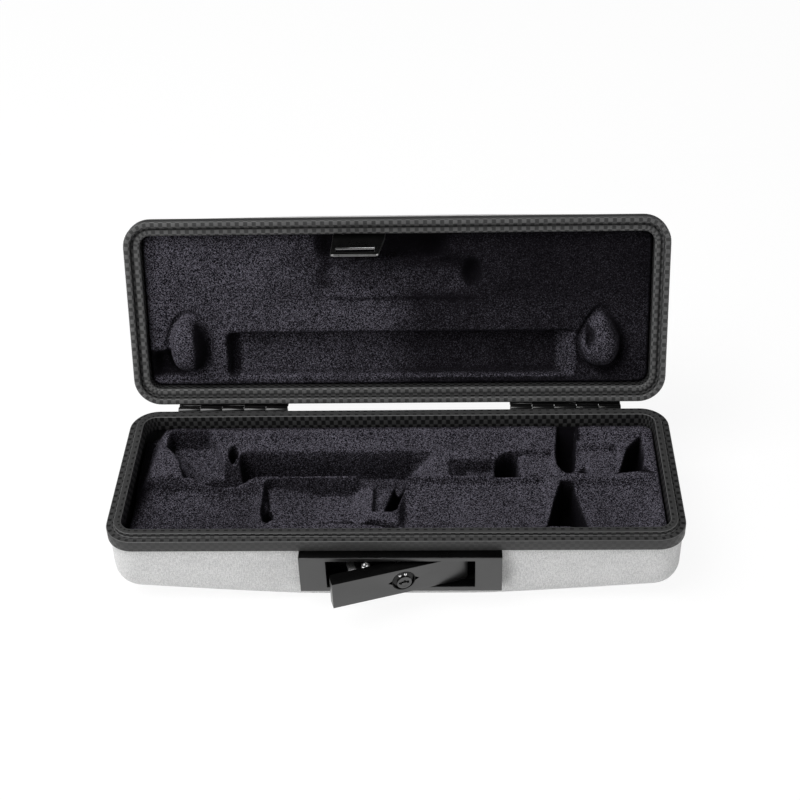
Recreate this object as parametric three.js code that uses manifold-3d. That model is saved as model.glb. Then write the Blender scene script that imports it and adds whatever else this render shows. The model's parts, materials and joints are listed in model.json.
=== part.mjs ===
// A small hard case: two covered shells with moulded rims, a shaped tray, two hinges and a rocker
// latch with a key lock. X runs along the case, Y towards the hinges and Z up from the rest face.
// The lid and the lever are drawn closed and stand in groups that turn them open.
import * as THREE from "three";
import { mergeVertices } from "three/addons/utils/BufferGeometryUtils.js";
import Module from "manifold-3d";

const wasm = await Module();
wasm.setup();

// Driving dimensions of the case, in millimetres
const caseLength = 240;
const caseDepth = 85.5;
const baseHeight = 36;
const lidHeight = 21;
const cornerRadius = 12;
const smallestCorner = 1;
const cornerTighteningShare = 0.85;
const flatHalfLength = 36;
const baseCrownRise = 6.5;
const lidCrownRise = 4;
const crownPower = 1.2;
const baseEdgeRadius = 9;
const lidEdgeRadius = 8;
const baseDraftDegrees = 0.3;
const lidDraftDegrees = 4.5;
const fitGap = 0.3;
const cutOverrun = 1;
const mergeTolerance = 0.0001;

// Walls: a woven cover over a rigid shell
const coverThickness = 0.8;
const shellThickness = 2;

// Rim of the base: an outer ledge and a raised inner lip over a channel for the walls
const rimWidth = 6.4;
const rimFaceHeight = 5.3;
const rimLedgeWidth = 3.3;
const rimLipHeight = 1.7;
const rimInnerHeight = 5.9;
const rimFlangeThickness = 0.6;
const rimWebThickness = 1.8;

// Rim of the lid: an outer band that meets the ledge, a groove and an inner band over the lip
const lidRimWidth = 7;
const lipClearance = 0.4;
const lipHeadroom = 0.5;
const grooveWidth = 1.1;
const grooveDepth = 3.1;
const lidWebThickness = 1.2;
const lidRimInnerHeight = 6.8;

// Padded trays
const trayGap = 0.4;
const trayTopDrop = 5.3;
const trayEdgeRound = 2;
const padFaceDepth = 6.7;
const padEdgeRound = 1.5;

// Hinges
const hingeSetback = 2.15;
const hingeDrop = 1.6;
const openDegrees = 108;
const hingeLength = 49.8;
const hingeEndInset = 44.8;
const knuckleCount = 5;
const barrelRadius = 1.85;
const hingePinRadius = 0.8;
const leafThickness = 0.9;
const baseLeafHeight = 12.5;
const lidLeafHeight = 14;
const rivetSpread = 12;
const rivetInsetFromLeafEnd = 3.2;
const rivetHeadRadius = 1.7;
const rivetHeadHeight = 0.8;
const rivetShankRadius = 0.8;

// Latch: bezel, housing and rocker lever
const latchOffset = 2.5;
const bezelLength = 82.6;
const bezelHeight = 18.6;
const bezelProjection = 3.9;
const bezelEndBorder = 10.6;
const bezelTopBorder = 2.1;
const bezelBottomBorder = 1.9;
const housingWall = 1.4;
const housingFloor = 1.3;
const housingRoom = 2.2;
const leverThickness = 6;
const leverEndGap = 0.7;
const leverTailGap = 3.1;
const pivotSpacing = 12.5;
const leverOpenDegrees = 17;
const thumbLength = 6;
const thumbSink = 1.2;
const thumbSteps = 3;
const leverBackChamfer = 1.6;
const leverPinRadius = 1;
const pinHoleSkin = 0.6;

// Lock in the lever
const lockRadius = 3.4;
const lockSink = 0.2;
const lockBossRadius = 1.6;
const lockRingWidth = 0.9;
const lockRingHeight = 0.8;
const lockRingProud = 0.3;
const keySlotLength = 4.4;
const keySlotWidth = 0.9;
const keySlotDepth = 2;
const camThickness = 1.45;
const camTipGap = 0.4;
const camWidth = 4;
const camHubWall = 1.1;
const camScrewHeadRadius = 2.4;
const camScrewHeadHeight = 0.9;
const camScrewShankRadius = 0.6;
const camScrewShankLength = 2.4;
const keeperWidth = 5;
const keeperDrop = 1.7;
const keeperThickness = 0.85;
const keeperClearance = 1.2;

// Strike, the lid's tongue with its window
const strikeOffset = -16;
const strikeWidth = 23;
const strikeThickness = 1.25;
const strikeStandoff = 1.15;
const strikeRootHeight = 1.2;
const strikeLength = 18.2;
const strikeLeanDegrees = 8;
const strikeSlant = 2.2;
const strikeFlangeTop = 8.5;
const strikeFlangeFoot = 3;
const windowLength = 16.7;
const windowOffset = -1;
const windowHeight = 4.4;
const windowBar = 2.8;
const strikeScrewSpread = 7;
const strikeScrewHeight = 5.8;
const strikeScrewHeadRadius = 1.5;
const strikeScrewHeadHeight = 0.8;
const strikeScrewShankRadius = 0.8;
const strikeScrewShankLength = 2.6;

// Hook on the lever's back
const hookThickness = 1.6;
const hookClearance = 0.4;
const hookOvershoot = 0.6;
const hookTabWidth = 8.5;
const hookBlunting = 2;
const hookRootWidth = 7.5;
const hookLugLength = 4.4;
const hookLugThickness = 2.4;
const hookRivetHeadRadius = 1.65;
const hookRivetHeadHeight = 0.8;
const hookRivetShankRadius = 0.9;
const slotSideClearance = 0.9;

// Screws that hold the latch
const latchScrewHeadRadius = 2;
const latchScrewHeadHeight = 0.8;
const latchScrewShankRadius = 1;
const latchScrewGrip = 3;

// Facets
const cornerSteps = 5;
const stationSteps = 4;
const filletSteps = 4;
const roundSides = 20;
const smallSides = 12;
const cradleSides = 24;
const lobeSides = 16;
const lobeRows = 10;

const quarterTurn = Math.PI / 2;
const degree = Math.PI / 180;

// Places that several pieces share
const parting = baseHeight;
const halfDepth = caseDepth / 2;
const coverInset = rimFlangeThickness + fitGap;
const shellInset = coverThickness + fitGap;
const innerInset = shellInset + shellThickness;
const grooveTop = fitGap + grooveDepth;
const lidBandTop = rimLipHeight + lipHeadroom;
const hingeY = halfDepth + hingeSetback;
const hingeZ = parting - hingeDrop;
const latchTop = parting - rimFaceHeight - fitGap;
const latchFaceY = -halfDepth - bezelProjection;
const bezelBackY = -halfDepth + coverInset - fitGap;
const housingFrontY = bezelBackY + fitGap;
const openingLength = bezelLength - 2 * bezelEndBorder;
const openingHeight = bezelHeight - bezelTopBorder - bezelBottomBorder;
const openingTop = latchTop - bezelTopBorder;
const openingBottom = openingTop - openingHeight;
const openingLeft = latchOffset - openingLength / 2;
const openingRight = latchOffset + openingLength / 2;
const leverLeft = openingLeft + leverEndGap;
const leverRight = openingRight - leverTailGap;
const leverTop = openingTop - fitGap;
const leverBottom = openingBottom + fitGap;
const leverBackY = latchFaceY + leverThickness;
const lockX = latchOffset;
const lockZ = (leverTop + leverBottom) / 2;
const pivotX = lockX + pivotSpacing;
const pivotY = latchFaceY + leverThickness / 2;
const camFrontY = leverBackY + fitGap;
const camBackY = camFrontY + camThickness;
const keeperBackY = camFrontY - fitGap;
const keeperFrontY = keeperBackY - keeperThickness;
const camLength = openingHeight / 2 - camTipGap;
const housingBackY = camBackY + fitGap + camScrewHeadHeight + housingRoom + housingFloor;
const latchScrewSpread = (bezelLength + openingLength) / 4;
const strikeInnerWallY = -halfDepth + lidRimWidth;
const strikeRootY = strikeInnerWallY + strikeStandoff;
const strikeTipZ = parting + strikeRootHeight - strikeLength;
const windowBottomZ = strikeTipZ + windowBar;
const windowX = strikeOffset + windowOffset;
const hookBottomZ = windowBottomZ + hookClearance;
const hookTopZ = hookBottomZ + hookThickness;
const hookRightX = windowX + windowLength / 2 - slotSideClearance;
const hookTabLeftX = hookRightX - hookTabWidth;
const hookFrontY = leverBackY + fitGap;
const strikeLeanSlope = Math.tan(strikeLeanDegrees * degree);
const strikeBackAtHookY =
  strikeRootY + (strikeLength - windowBar) * strikeLeanSlope + strikeThickness;
const hookTipY = strikeBackAtHookY + hookOvershoot;
const hingeSpread = caseLength / 2 - hingeEndInset;

const lowerHalf = {
  side: -1,
  height: baseHeight,
  crownRise: baseCrownRise,
  edgeRadius: baseEdgeRadius,
  edgeDepth: rimWebThickness + fitGap,
  draftSlope: Math.tan(baseDraftDegrees * degree),
  leafHeight: baseLeafHeight,
};
const upperHalf = {
  side: 1,
  height: lidHeight,
  crownRise: lidCrownRise,
  edgeRadius: lidEdgeRadius,
  edgeDepth: grooveTop + lidWebThickness + fitGap,
  draftSlope: Math.tan(lidDraftDegrees * degree),
  leafHeight: lidLeafHeight,
};

const materials = {
  fabric: surface(0xbebebe, 0.95, 0),
  shell: surface(0x3a3a3c, 0.7, 0),
  rim: surface(0x3c3c3c, 0.55, 0),
  velvet: surface(0x25232b, 1, 0),
  blackMetal: surface(0x1a1a1b, 0.35, 0.6),
  bezel: surface(0x4c4c4c, 0.45, 0.1),
  steel: surface(0xb8b8b8, 0.3, 1),
};

function surface(color, roughness, metalness) {
  return new THREE.MeshStandardMaterial({ color, roughness, metalness });
}

// Solids

function solidOf(geometry) {
  const source = geometry.index ? geometry.toNonIndexed() : geometry;
  const bare = new THREE.BufferGeometry();
  bare.setAttribute("position", source.getAttribute("position"));
  const merged = mergeVertices(bare, mergeTolerance);
  const mesh = new wasm.Mesh({
    numProp: 3,
    vertProperties: merged.getAttribute("position").array,
    triVerts: new Uint32Array(merged.index.array),
  });
  return new wasm.Manifold(mesh);
}

function geometryOf(solid) {
  const mesh = solid.getMesh();
  const geometry = new THREE.BufferGeometry();
  geometry.setAttribute("position", new THREE.BufferAttribute(mesh.vertProperties, mesh.numProp));
  geometry.setIndex(new THREE.BufferAttribute(mesh.triVerts, 1));
  const flat = geometry.toNonIndexed();
  flat.computeVertexNormals();
  return flat;
}

function block(x, y, z) {
  const geometry = new THREE.BoxGeometry(x[1] - x[0], y[1] - y[0], z[1] - z[0]);
  geometry.translate((x[0] + x[1]) / 2, (y[0] + y[1]) / 2, (z[0] + z[1]) / 2);
  return solidOf(geometry);
}

function rodAlongX(radius, x, y, z, sides) {
  const geometry = new THREE.CylinderGeometry(radius, radius, x[1] - x[0], sides);
  geometry.rotateZ(quarterTurn);
  geometry.translate((x[0] + x[1]) / 2, y, z);
  return solidOf(geometry);
}

function rodAlongY(radius, x, y, z, sides) {
  const geometry = new THREE.CylinderGeometry(radius, radius, y[1] - y[0], sides);
  geometry.translate(x, (y[0] + y[1]) / 2, z);
  return solidOf(geometry);
}

function rodAlongZ(radius, x, y, z, sides) {
  const geometry = new THREE.CylinderGeometry(radius, radius, z[1] - z[0], sides);
  geometry.rotateX(quarterTurn);
  geometry.translate(x, y, (z[0] + z[1]) / 2);
  return solidOf(geometry);
}

function extruded(points, depth) {
  const shape = new THREE.Shape(points.map(([u, v]) => new THREE.Vector2(u, v)));
  return new THREE.ExtrudeGeometry(shape, { depth, bevelEnabled: false });
}

// A profile of [y, z] points carried along X
function prismAlongX(points, x) {
  const geometry = extruded(points, x[1] - x[0]);
  const across = new THREE.Vector3(0, 1, 0);
  const up = new THREE.Vector3(0, 0, 1);
  const along = new THREE.Vector3(1, 0, 0);
  geometry.applyMatrix4(new THREE.Matrix4().makeBasis(across, up, along));
  geometry.translate(x[0], 0, 0);
  return solidOf(geometry);
}

// A plan of [x, y] points carried up Z
function prismAlongZ(points, z) {
  const geometry = extruded(points, z[1] - z[0]);
  geometry.translate(0, 0, z[0]);
  return solidOf(geometry);
}

function joined(solids) {
  return solids.reduce((whole, solid) => whole.add(solid));
}

function without(solid, cutters) {
  return cutters.reduce((rest, cutter) => rest.subtract(cutter), solid);
}

// Rings round the case: a rounded rectangle drawn in from the rim's outer face. The points run from
// right to left along the back and return along the front, so point i faces point count - 1 - i.

function outline(inset) {
  const reachX = caseLength / 2 - inset;
  const reachY = halfDepth - inset;
  const radius = Math.max(cornerRadius - cornerTighteningShare * inset, smallestCorner);
  const centreX = reachX - radius;
  const centreY = reachY - radius;
  const back = [];
  for (let step = 0; step <= cornerSteps; step++) {
    const angle = (quarterTurn * step) / cornerSteps;
    back.push([centreX + radius * Math.cos(angle), centreY + radius * Math.sin(angle)]);
  }
  const flat = Math.min(flatHalfLength, centreX / 2);
  for (let step = stationSteps - 1; step >= 0; step--) {
    back.push([flat + ((centreX - flat) * step) / stationSteps, reachY]);
  }
  const left = back.map(([x, y]) => [-x, y]).reverse();
  const half = back.concat(left);
  const front = half.map(([x, y]) => [x, -y]).reverse();
  return half.concat(front);
}

// depthAt gives how far a point lies from the parting plane, into its own half of the case
function ring(half, inset, depthAt) {
  return outline(inset).map(([x, y]) => [x, y, parting + half.side * depthAt(x)]);
}

function floorDepth(half, x) {
  const beyond = Math.max(Math.abs(x) - flatHalfLength, 0);
  const run = caseLength / 2 - flatHalfLength;
  return half.height - half.crownRise * Math.pow(beyond / run, crownPower);
}

function wallInset(half, depth) {
  return coverInset + (depth - half.edgeDepth) * half.draftSlope;
}

// Where a rim's inner flange clears the shell that leans towards it
function channelInset(half, flangeDepth) {
  return wallInset(half, flangeDepth) + innerInset + fitGap;
}

// Rings of one wall surface, from its upper edge round the lower edge to the floor
function wallRings(half, inset, topInset, topDepth) {
  const radius = half.edgeRadius - inset;
  const turnInset = wallInset(half, half.height - half.edgeRadius) + inset;
  const startInset = Math.max(turnInset, topInset);
  const rings = [ring(half, topInset, () => topDepth)];
  for (let step = 0; step <= filletSteps; step++) {
    const angle = (quarterTurn * step) / filletSteps;
    const drawn = startInset + radius * (1 - Math.cos(angle));
    const lift = inset + radius * (1 - Math.sin(angle));
    rings.push(ring(half, drawn, (x) => floorDepth(half, x) - lift));
  }
  return rings;
}

// A closed skin over rings of equal count, joined end to start or capped at both ends
function skin(rings, isLoop) {
  const count = rings[0].length;
  const faces = [];
  const spans = isLoop ? rings.length : rings.length - 1;
  for (let span = 0; span < spans; span++) {
    const here = span * count;
    const next = ((span + 1) % rings.length) * count;
    for (let i = 0; i < count; i++) {
      const j = (i + 1) % count;
      faces.push(here + i, here + j, next + j);
      faces.push(here + i, next + j, next + i);
    }
  }
  if (!isLoop) {
    const last = (rings.length - 1) * count;
    for (let i = 0; i < count / 2 - 1; i++) {
      const across = count - 1 - i;
      faces.push(i, across - 1, i + 1, i, across, across - 1);
      faces.push(last + i, last + i + 1, last + across - 1);
      faces.push(last + i, last + across - 1, last + across);
    }
  }
  const geometry = new THREE.BufferGeometry();
  geometry.setAttribute("position", new THREE.Float32BufferAttribute(rings.flat(2), 3));
  geometry.setIndex(isFacingOut(rings.flat(), faces) ? faces : faces.reverse());
  return solidOf(geometry);
}

function isFacingOut(points, faces) {
  let volume = 0;
  for (let i = 0; i < faces.length; i += 3) {
    const [a, b, c] = [faces[i], faces[i + 1], faces[i + 2]].map((n) => new THREE.Vector3(...points[n]));
    volume += a.dot(b.cross(c));
  }
  return volume > 0;
}

// Rims: a profile of [inset, depth] points carried round the case
function rimSolid(half, profile) {
  const rings = profile.map(([inset, depth]) => ring(half, inset, () => depth));
  return skin(rings, true);
}

function lowerRim() {
  const channel = channelInset(lowerHalf, rimInnerHeight);
  return rimSolid(lowerHalf, [
    [0, rimFaceHeight],
    [0, 0],
    [rimLedgeWidth, 0],
    [rimLedgeWidth, -rimLipHeight],
    [rimWidth, -rimLipHeight],
    [rimWidth, rimInnerHeight],
    [channel, rimInnerHeight],
    [channel, rimWebThickness],
    [rimFlangeThickness, rimWebThickness],
    [rimFlangeThickness, rimFaceHeight],
  ]);
}

function lidRim() {
  const bandWidth = rimLedgeWidth - lipClearance;
  const webDepth = grooveTop + lidWebThickness;
  const innerDepth = lidBandTop + lidRimInnerHeight;
  const channel = channelInset(upperHalf, innerDepth);
  const rim = rimSolid(upperHalf, [
    [0, fitGap + rimFaceHeight],
    [0, fitGap],
    [bandWidth, fitGap],
    [bandWidth, grooveTop],
    [bandWidth + grooveWidth, grooveTop],
    [bandWidth + grooveWidth, lidBandTop],
    [lidRimWidth, lidBandTop],
    [lidRimWidth, innerDepth],
    [channel, innerDepth],
    [channel, webDepth],
    [rimFlangeThickness, webDepth],
    [rimFlangeThickness, fitGap + rimFaceHeight],
  ]);
  return without(rim, strikeScrewHoles());
}

// Covers and shells
function walls(half, outerInset, innerInsetHere) {
  const outer = wallRings(half, outerInset, coverInset + outerInset, half.edgeDepth);
  const inner = wallRings(half, innerInsetHere, coverInset + innerInsetHere, half.edgeDepth);
  return skin(inner.reverse().concat(outer), false);
}

function lowerCover() {
  const cutters = [latchWindow(), ...latchScrewHoles(), ...hingeRivetHoles(lowerHalf)];
  return without(walls(lowerHalf, 0, coverThickness), cutters);
}

function lowerShell() {
  const cutters = [latchWindow(), ...latchScrewHoles(), ...hingeRivetHoles(lowerHalf)];
  return without(walls(lowerHalf, shellInset, innerInset), cutters);
}

function lidCover() {
  return without(walls(upperHalf, 0, coverThickness), hingeRivetHoles(upperHalf));
}

function lidShell() {
  return without(walls(upperHalf, shellInset, innerInset), hingeRivetHoles(upperHalf));
}

// Tray of the base: cradles and pockets. Ends are shares of the tray's half length, sides, middles
// and radii shares of its half depth, and floors shares of the velvet's height over the rest face
const trayInset = rimWidth + trayGap;
const trayHalfLength = caseLength / 2 - trayInset;
const trayHalfDepth = halfDepth - trayInset;
const traySurface = parting - trayTopDrop;
const cradles = [
  { endShares: [-0.965, -0.515], middleShare: -0.42, radiusShare: 0.47, floorShare: 0.29 },
  { endShares: [0.03, 0.6], middleShare: -0.39, radiusShare: 0.5, floorShare: 0.29 },
  { endShares: [0.73, 0.965], middleShare: -0.42, radiusShare: 0.5, floorShare: 0.23 },
  { endShares: [-0.89, -0.68], middleShare: 0.53, radiusShare: 0.42, floorShare: 0.39 },
  { endShares: [-0.61, 0.08], middleShare: 0.36, radiusShare: 0.228, floorShare: 0.49 },
  { endShares: [0.19, 0.38], middleShare: 0.265, radiusShare: 0.167, floorShare: 0.2 },
  { endShares: [0.46, 0.62], middleShare: 0.34, radiusShare: 0.26, floorShare: 0.18 },
  { endShares: [0.72, 0.85], middleShare: 0.4, radiusShare: 0.34, floorShare: 0.18 },
];
const pockets = [
  { planShares: boxShares([-0.52, -0.474], [-0.75, -0.11]), floorShare: 0.59 },
  { planShares: boxShares([-0.459, -0.08], [-0.7, 0.03]), floorShare: 0.31 },
  { planShares: [[0.58, -0.86], [0.725, -0.86], [0.68, -0.05], [0.62, -0.05]], floorShare: 0.65 },
  { planShares: boxShares([-0.69, -0.64], [0.38, 0.76]), floorShare: 0.59 },
  { planShares: boxShares([0.37, 0.47], [0.11, 0.56]), floorShare: 0.49 },
  { planShares: boxShares([0.63, 0.705], [0.17, 0.92]), floorShare: 0.52 },
  { planShares: [[0.84, 0.14], [0.965, 0.14], [0.965, 0.8]], floorShare: 0.46 },
];

// The corners of a rectangle between two ends and two sides
function boxShares([left, right], [front, back]) {
  return [[left, front], [right, front], [right, back], [left, back]];
}

// A trough whose floor is round and whose sides rise straight from its axis
function cradleCut({ endShares, middleShare, radiusShare, floorShare }) {
  const ends = endShares.map((share) => share * trayHalfLength);
  const middle = middleShare * trayHalfDepth;
  const radius = radiusShare * trayHalfDepth;
  const axisZ = traySurface * (1 - floorShare) + radius;
  const round = rodAlongX(radius, ends, middle, axisZ, cradleSides);
  const above = Math.max(axisZ, traySurface) + cutOverrun;
  return round.add(block(ends, [middle - radius, middle + radius], [axisZ, above]));
}

function pocketCut({ planShares, floorShare }) {
  const plan = planShares.map(([along, across]) => [
    along * trayHalfLength,
    across * trayHalfDepth,
  ]);
  return prismAlongZ(plan, [traySurface * (1 - floorShare), parting]);
}

function lowerLiner() {
  const linerWall = innerInset + fitGap;
  const rings = wallRings(lowerHalf, linerWall, trayInset, trayTopDrop + trayEdgeRound);
  const face = ring(lowerHalf, trayInset + trayEdgeRound, () => trayTopDrop);
  const blank = skin([face, ...rings], false);
  const housingNotch = block(
    [openingLeft - housingWall - fitGap, openingRight + housingWall + fitGap],
    [-halfDepth, housingBackY + fitGap],
    [openingBottom - housingWall - fitGap, openingTop + housingWall + fitGap],
  );
  const slotHalf = strikeWidth / 2 + slotSideClearance;
  const strikeSlot = block(
    [strikeOffset - slotHalf, strikeOffset + slotHalf],
    [-halfDepth, hookTipY + cutOverrun],
    [strikeTipZ - cutOverrun, parting],
  );
  const shaping = cradles.map(cradleCut).concat(pockets.map(pocketCut));
  return without(blank, [housingNotch, strikeSlot, ...shaping]);
}

// Pad of the lid: two holding lobes, a long recess and a shallow one
const padInset = lidRimWidth + fitGap;
const padHalfLength = caseLength / 2 - padInset;
const padHalfDepth = halfDepth - padInset;
const padSurface = parting + padFaceDepth;
const lobeLength = 20;
const lobeBreadth = 28;
const lobeHeight = 4.6;
const lobeShares = [
  { along: -0.835, across: 0.4 },
  { along: 0.8, across: 0.36 },
];
const padRecesses = [
  { endShares: [-0.65, 0.66], sideShares: [0.3, 0.9], depthShare: 0.35 },
  { endShares: [-0.28, 0.33], sideShares: [-0.62, -0.2], depthShare: 0.155 },
];

function lobe({ along, across }) {
  const geometry = new THREE.SphereGeometry(1, lobeSides, lobeRows);
  geometry.scale(lobeLength / 2, lobeBreadth / 2, lobeHeight);
  geometry.translate(along * padHalfLength, across * padHalfDepth, padSurface);
  return solidOf(geometry);
}

function lidLiner() {
  const linerWall = innerInset + fitGap;
  const rings = wallRings(upperHalf, linerWall, padInset, padFaceDepth + padEdgeRound);
  const face = ring(upperHalf, padInset + padEdgeRound, () => padFaceDepth);
  const blank = skin([face, ...rings], false);
  const recesses = padRecesses.map(({ endShares, sideShares, depthShare }) =>
    block(
      endShares.map((share) => share * padHalfLength),
      sideShares.map((share) => share * padHalfDepth),
      [padSurface - cutOverrun, padSurface + depthShare * (lidHeight - padFaceDepth)],
    ),
  );
  const notchHalf = strikeWidth / 2 + slotSideClearance;
  const notchBackY = strikeInnerWallY + fitGap + strikeThickness + strikeScrewHeadHeight;
  const strikeNotch = block(
    [strikeOffset - notchHalf, strikeOffset + notchHalf],
    [-halfDepth, notchBackY + slotSideClearance],
    [parting, parting + strikeFlangeTop + slotSideClearance],
  );
  return without(blank, [strikeNotch, ...recesses]).add(joined(lobeShares.map(lobe)));
}

// Hinges: each leaf is a cranked strip with its share of the knuckles
const knuckleLength = hingeLength / knuckleCount;

// Where the cover's back surface lies at a height in this half
function coverBackY(half, z) {
  const depth = half.side * (z - parting);
  return halfDepth - wallInset(half, depth);
}

function leafProfile(half) {
  const rimBack = halfDepth + fitGap;
  const rimEnd = parting + half.side * (rimFaceHeight + fitGap);
  const crankEnd = rimEnd + half.side * (leafThickness + fitGap);
  const leafEnd = hingeZ + half.side * half.leafHeight;
  const clearOfRim = rimEnd + half.side * fitGap;
  return [
    [rimBack, hingeZ],
    [rimBack, clearOfRim],
    [coverBackY(half, crankEnd) + fitGap, crankEnd + half.side * fitGap],
    [coverBackY(half, leafEnd) + fitGap, leafEnd],
    [coverBackY(half, leafEnd) + fitGap + leafThickness, leafEnd],
    [coverBackY(half, crankEnd) + fitGap + leafThickness, crankEnd + half.side * fitGap],
    [rimBack + leafThickness, clearOfRim],
    [rimBack + leafThickness, hingeZ],
  ];
}

function hingeLeaf(half, centreX) {
  const start = centreX - hingeLength / 2;
  const strip = prismAlongX(leafProfile(half), [start, start + hingeLength]);
  const own = [];
  const others = [];
  for (let n = 0; n < knuckleCount; n++) {
    const from = start + n * knuckleLength;
    const to = from + knuckleLength;
    const isBaseKnuckle = n % 2 === 0;
    if (isBaseKnuckle === (half === lowerHalf)) {
      const first = n === 0 ? from : from + fitGap / 2;
      const last = n === knuckleCount - 1 ? to : to - fitGap / 2;
      own.push(rodAlongX(barrelRadius, [first, last], hingeY, hingeZ, roundSides));
    } else {
      const first = n === 0 ? from - cutOverrun : from - fitGap / 2;
      const last = n === knuckleCount - 1 ? to + cutOverrun : to + fitGap / 2;
      others.push(rodAlongX(barrelRadius + fitGap, [first, last], hingeY, hingeZ, roundSides));
    }
  }
  const boreEnds = [start - cutOverrun, start + hingeLength + cutOverrun];
  const bore = rodAlongX(hingePinRadius + fitGap, boreEnds, hingeY, hingeZ, smallSides);
  return without(joined([without(strip, others), ...own]), [bore, ...hingeRivetHoles(half)]);
}

function hingePin(centreX) {
  const ends = [centreX - hingeLength / 2, centreX + hingeLength / 2];
  return rodAlongX(hingePinRadius, ends, hingeY, hingeZ, smallSides);
}

function rivetHeight(half) {
  return hingeZ + half.side * (half.leafHeight - rivetInsetFromLeafEnd);
}

function rivetPlaces(half) {
  const z = rivetHeight(half);
  const places = [];
  for (const centreX of [-hingeSpread, hingeSpread]) {
    for (const x of [centreX - rivetSpread, centreX + rivetSpread]) {
      places.push({ x, z });
    }
  }
  return places;
}

function hingeRivetHoles(half) {
  const y = [halfDepth - coverInset - innerInset - half.edgeRadius, hingeY + hingeSetback];
  return rivetPlaces(half).map(({ x, z }) =>
    rodAlongY(rivetShankRadius + fitGap, x, y, z, smallSides),
  );
}

function hingeRivet(half, { x, z }) {
  const leafY = coverBackY(half, z) + fitGap;
  const seatY = leafY + leafThickness + fitGap;
  const endY = leafY - fitGap - innerInset;
  const head = rodAlongY(rivetHeadRadius, x, [seatY, seatY + rivetHeadHeight], z, smallSides);
  const shank = rodAlongY(rivetShankRadius, x, [endY, seatY + rivetHeadHeight / 2], z, smallSides);
  return head.add(shank);
}

// Latch
function latchWindow() {
  return block(
    [openingLeft - housingWall - fitGap, openingRight + housingWall + fitGap],
    [-halfDepth - cutOverrun, housingBackY],
    [openingBottom - housingWall - fitGap, openingTop + housingWall + fitGap],
  );
}

function latchOpening(y) {
  return block([openingLeft, openingRight], y, [openingBottom, openingTop]);
}

function leverPinHole() {
  const z = [latchTop - bezelHeight - cutOverrun, latchTop - pinHoleSkin];
  return rodAlongZ(leverPinRadius + fitGap, pivotX, pivotY, z, smallSides);
}

function latchScrewPlaces() {
  return [latchOffset - latchScrewSpread, latchOffset + latchScrewSpread];
}

function latchScrewSeatY() {
  const depth = parting - lockZ;
  return -halfDepth + wallInset(lowerHalf, depth) + innerInset + fitGap;
}

function latchScrewHoles() {
  const y = [bezelBackY - latchScrewGrip - fitGap, latchScrewSeatY() + cutOverrun];
  return latchScrewPlaces().map((x) =>
    rodAlongY(latchScrewShankRadius + fitGap, x, y, lockZ, smallSides),
  );
}

function latchScrew(x) {
  const seatY = latchScrewSeatY();
  const head = [seatY, seatY + latchScrewHeadHeight];
  const shank = [bezelBackY - latchScrewGrip, seatY + latchScrewHeadHeight / 2];
  return rodAlongY(latchScrewHeadRadius, x, head, lockZ, smallSides).add(
    rodAlongY(latchScrewShankRadius, x, shank, lockZ, smallSides),
  );
}

function latchBezel() {
  const plate = block(
    [latchOffset - bezelLength / 2, latchOffset + bezelLength / 2],
    [latchFaceY, bezelBackY],
    [latchTop - bezelHeight, latchTop],
  );
  const opening = latchOpening([latchFaceY - cutOverrun, bezelBackY + cutOverrun]);
  return without(plate, [opening, leverPinHole(), ...latchScrewHoles()]);
}

function latchHousing() {
  const tray = block(
    [openingLeft - housingWall, openingRight + housingWall],
    [housingFrontY, housingBackY],
    [openingBottom - housingWall, openingTop + housingWall],
  );
  const hollow = latchOpening([housingFrontY - cutOverrun, housingBackY - housingFloor]);
  const hookSlot = block(
    [hookTabLeftX - slotSideClearance - fitGap, hookRightX + slotSideClearance],
    [housingFrontY, housingBackY + cutOverrun],
    [hookBottomZ - slotSideClearance, hookTopZ + slotSideClearance],
  );
  const keeper = block(
    [lockX - keeperWidth / 2, lockX + keeperWidth / 2],
    [keeperFrontY, keeperBackY],
    [openingTop - keeperDrop, openingTop + housingWall / 2],
  );
  return without(tray, [hollow, hookSlot]).add(keeper);
}

// The lever's plan, from its left end along the face to the sunk thumb end and back
function leverPlan() {
  const plan = [[leverLeft, latchFaceY]];
  for (let step = 0; step <= thumbSteps; step++) {
    const share = step / thumbSteps;
    const x = leverRight - thumbLength * (1 - share);
    plan.push([x, latchFaceY + thumbSink * share * share]);
  }
  plan.push([leverRight, leverBackY - leverBackChamfer]);
  plan.push([leverRight - leverBackChamfer, leverBackY]);
  plan.push([leverLeft + leverBackChamfer, leverBackY]);
  plan.push([leverLeft, leverBackY - leverBackChamfer]);
  return plan;
}

function latchLever() {
  const bar = prismAlongZ(leverPlan(), [leverBottom, leverTop]);
  const lugTop = hookBottomZ - fitGap;
  const lug = block(
    [hookRightX - hookRootWidth + hookBlunting, hookRightX + hookBlunting],
    [leverBackY - leverBackChamfer, leverBackY + hookLugLength],
    [lugTop - hookLugThickness, lugTop],
  );
  const through = [latchFaceY - cutOverrun, leverBackY + cutOverrun];
  const lockBore = rodAlongY(lockRadius + fitGap, lockX, through, lockZ, roundSides);
  const seatY = [latchFaceY - cutOverrun, latchFaceY + lockRingHeight - lockRingProud + fitGap];
  const ringSeat = rodAlongY(lockRingRadius() + fitGap, lockX, seatY, lockZ, roundSides);
  const notchHalf = keeperWidth / 2 + keeperClearance;
  const keeperNotch = block(
    [lockX - notchHalf, lockX + notchHalf],
    [keeperFrontY - fitGap, leverBackY + cutOverrun],
    [openingTop - keeperDrop - fitGap, leverTop + cutOverrun],
  );
  return without(bar.add(lug), [lockBore, ringSeat, keeperNotch, leverPinHole(), hookRivetHole()]);
}

function leverPin() {
  const z = [latchTop - bezelHeight + fitGap, latchTop - pinHoleSkin - fitGap];
  return rodAlongZ(leverPinRadius, pivotX, pivotY, z, smallSides);
}

// Lock
function lockRingRadius() {
  return lockRadius + fitGap + lockRingWidth;
}

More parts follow.
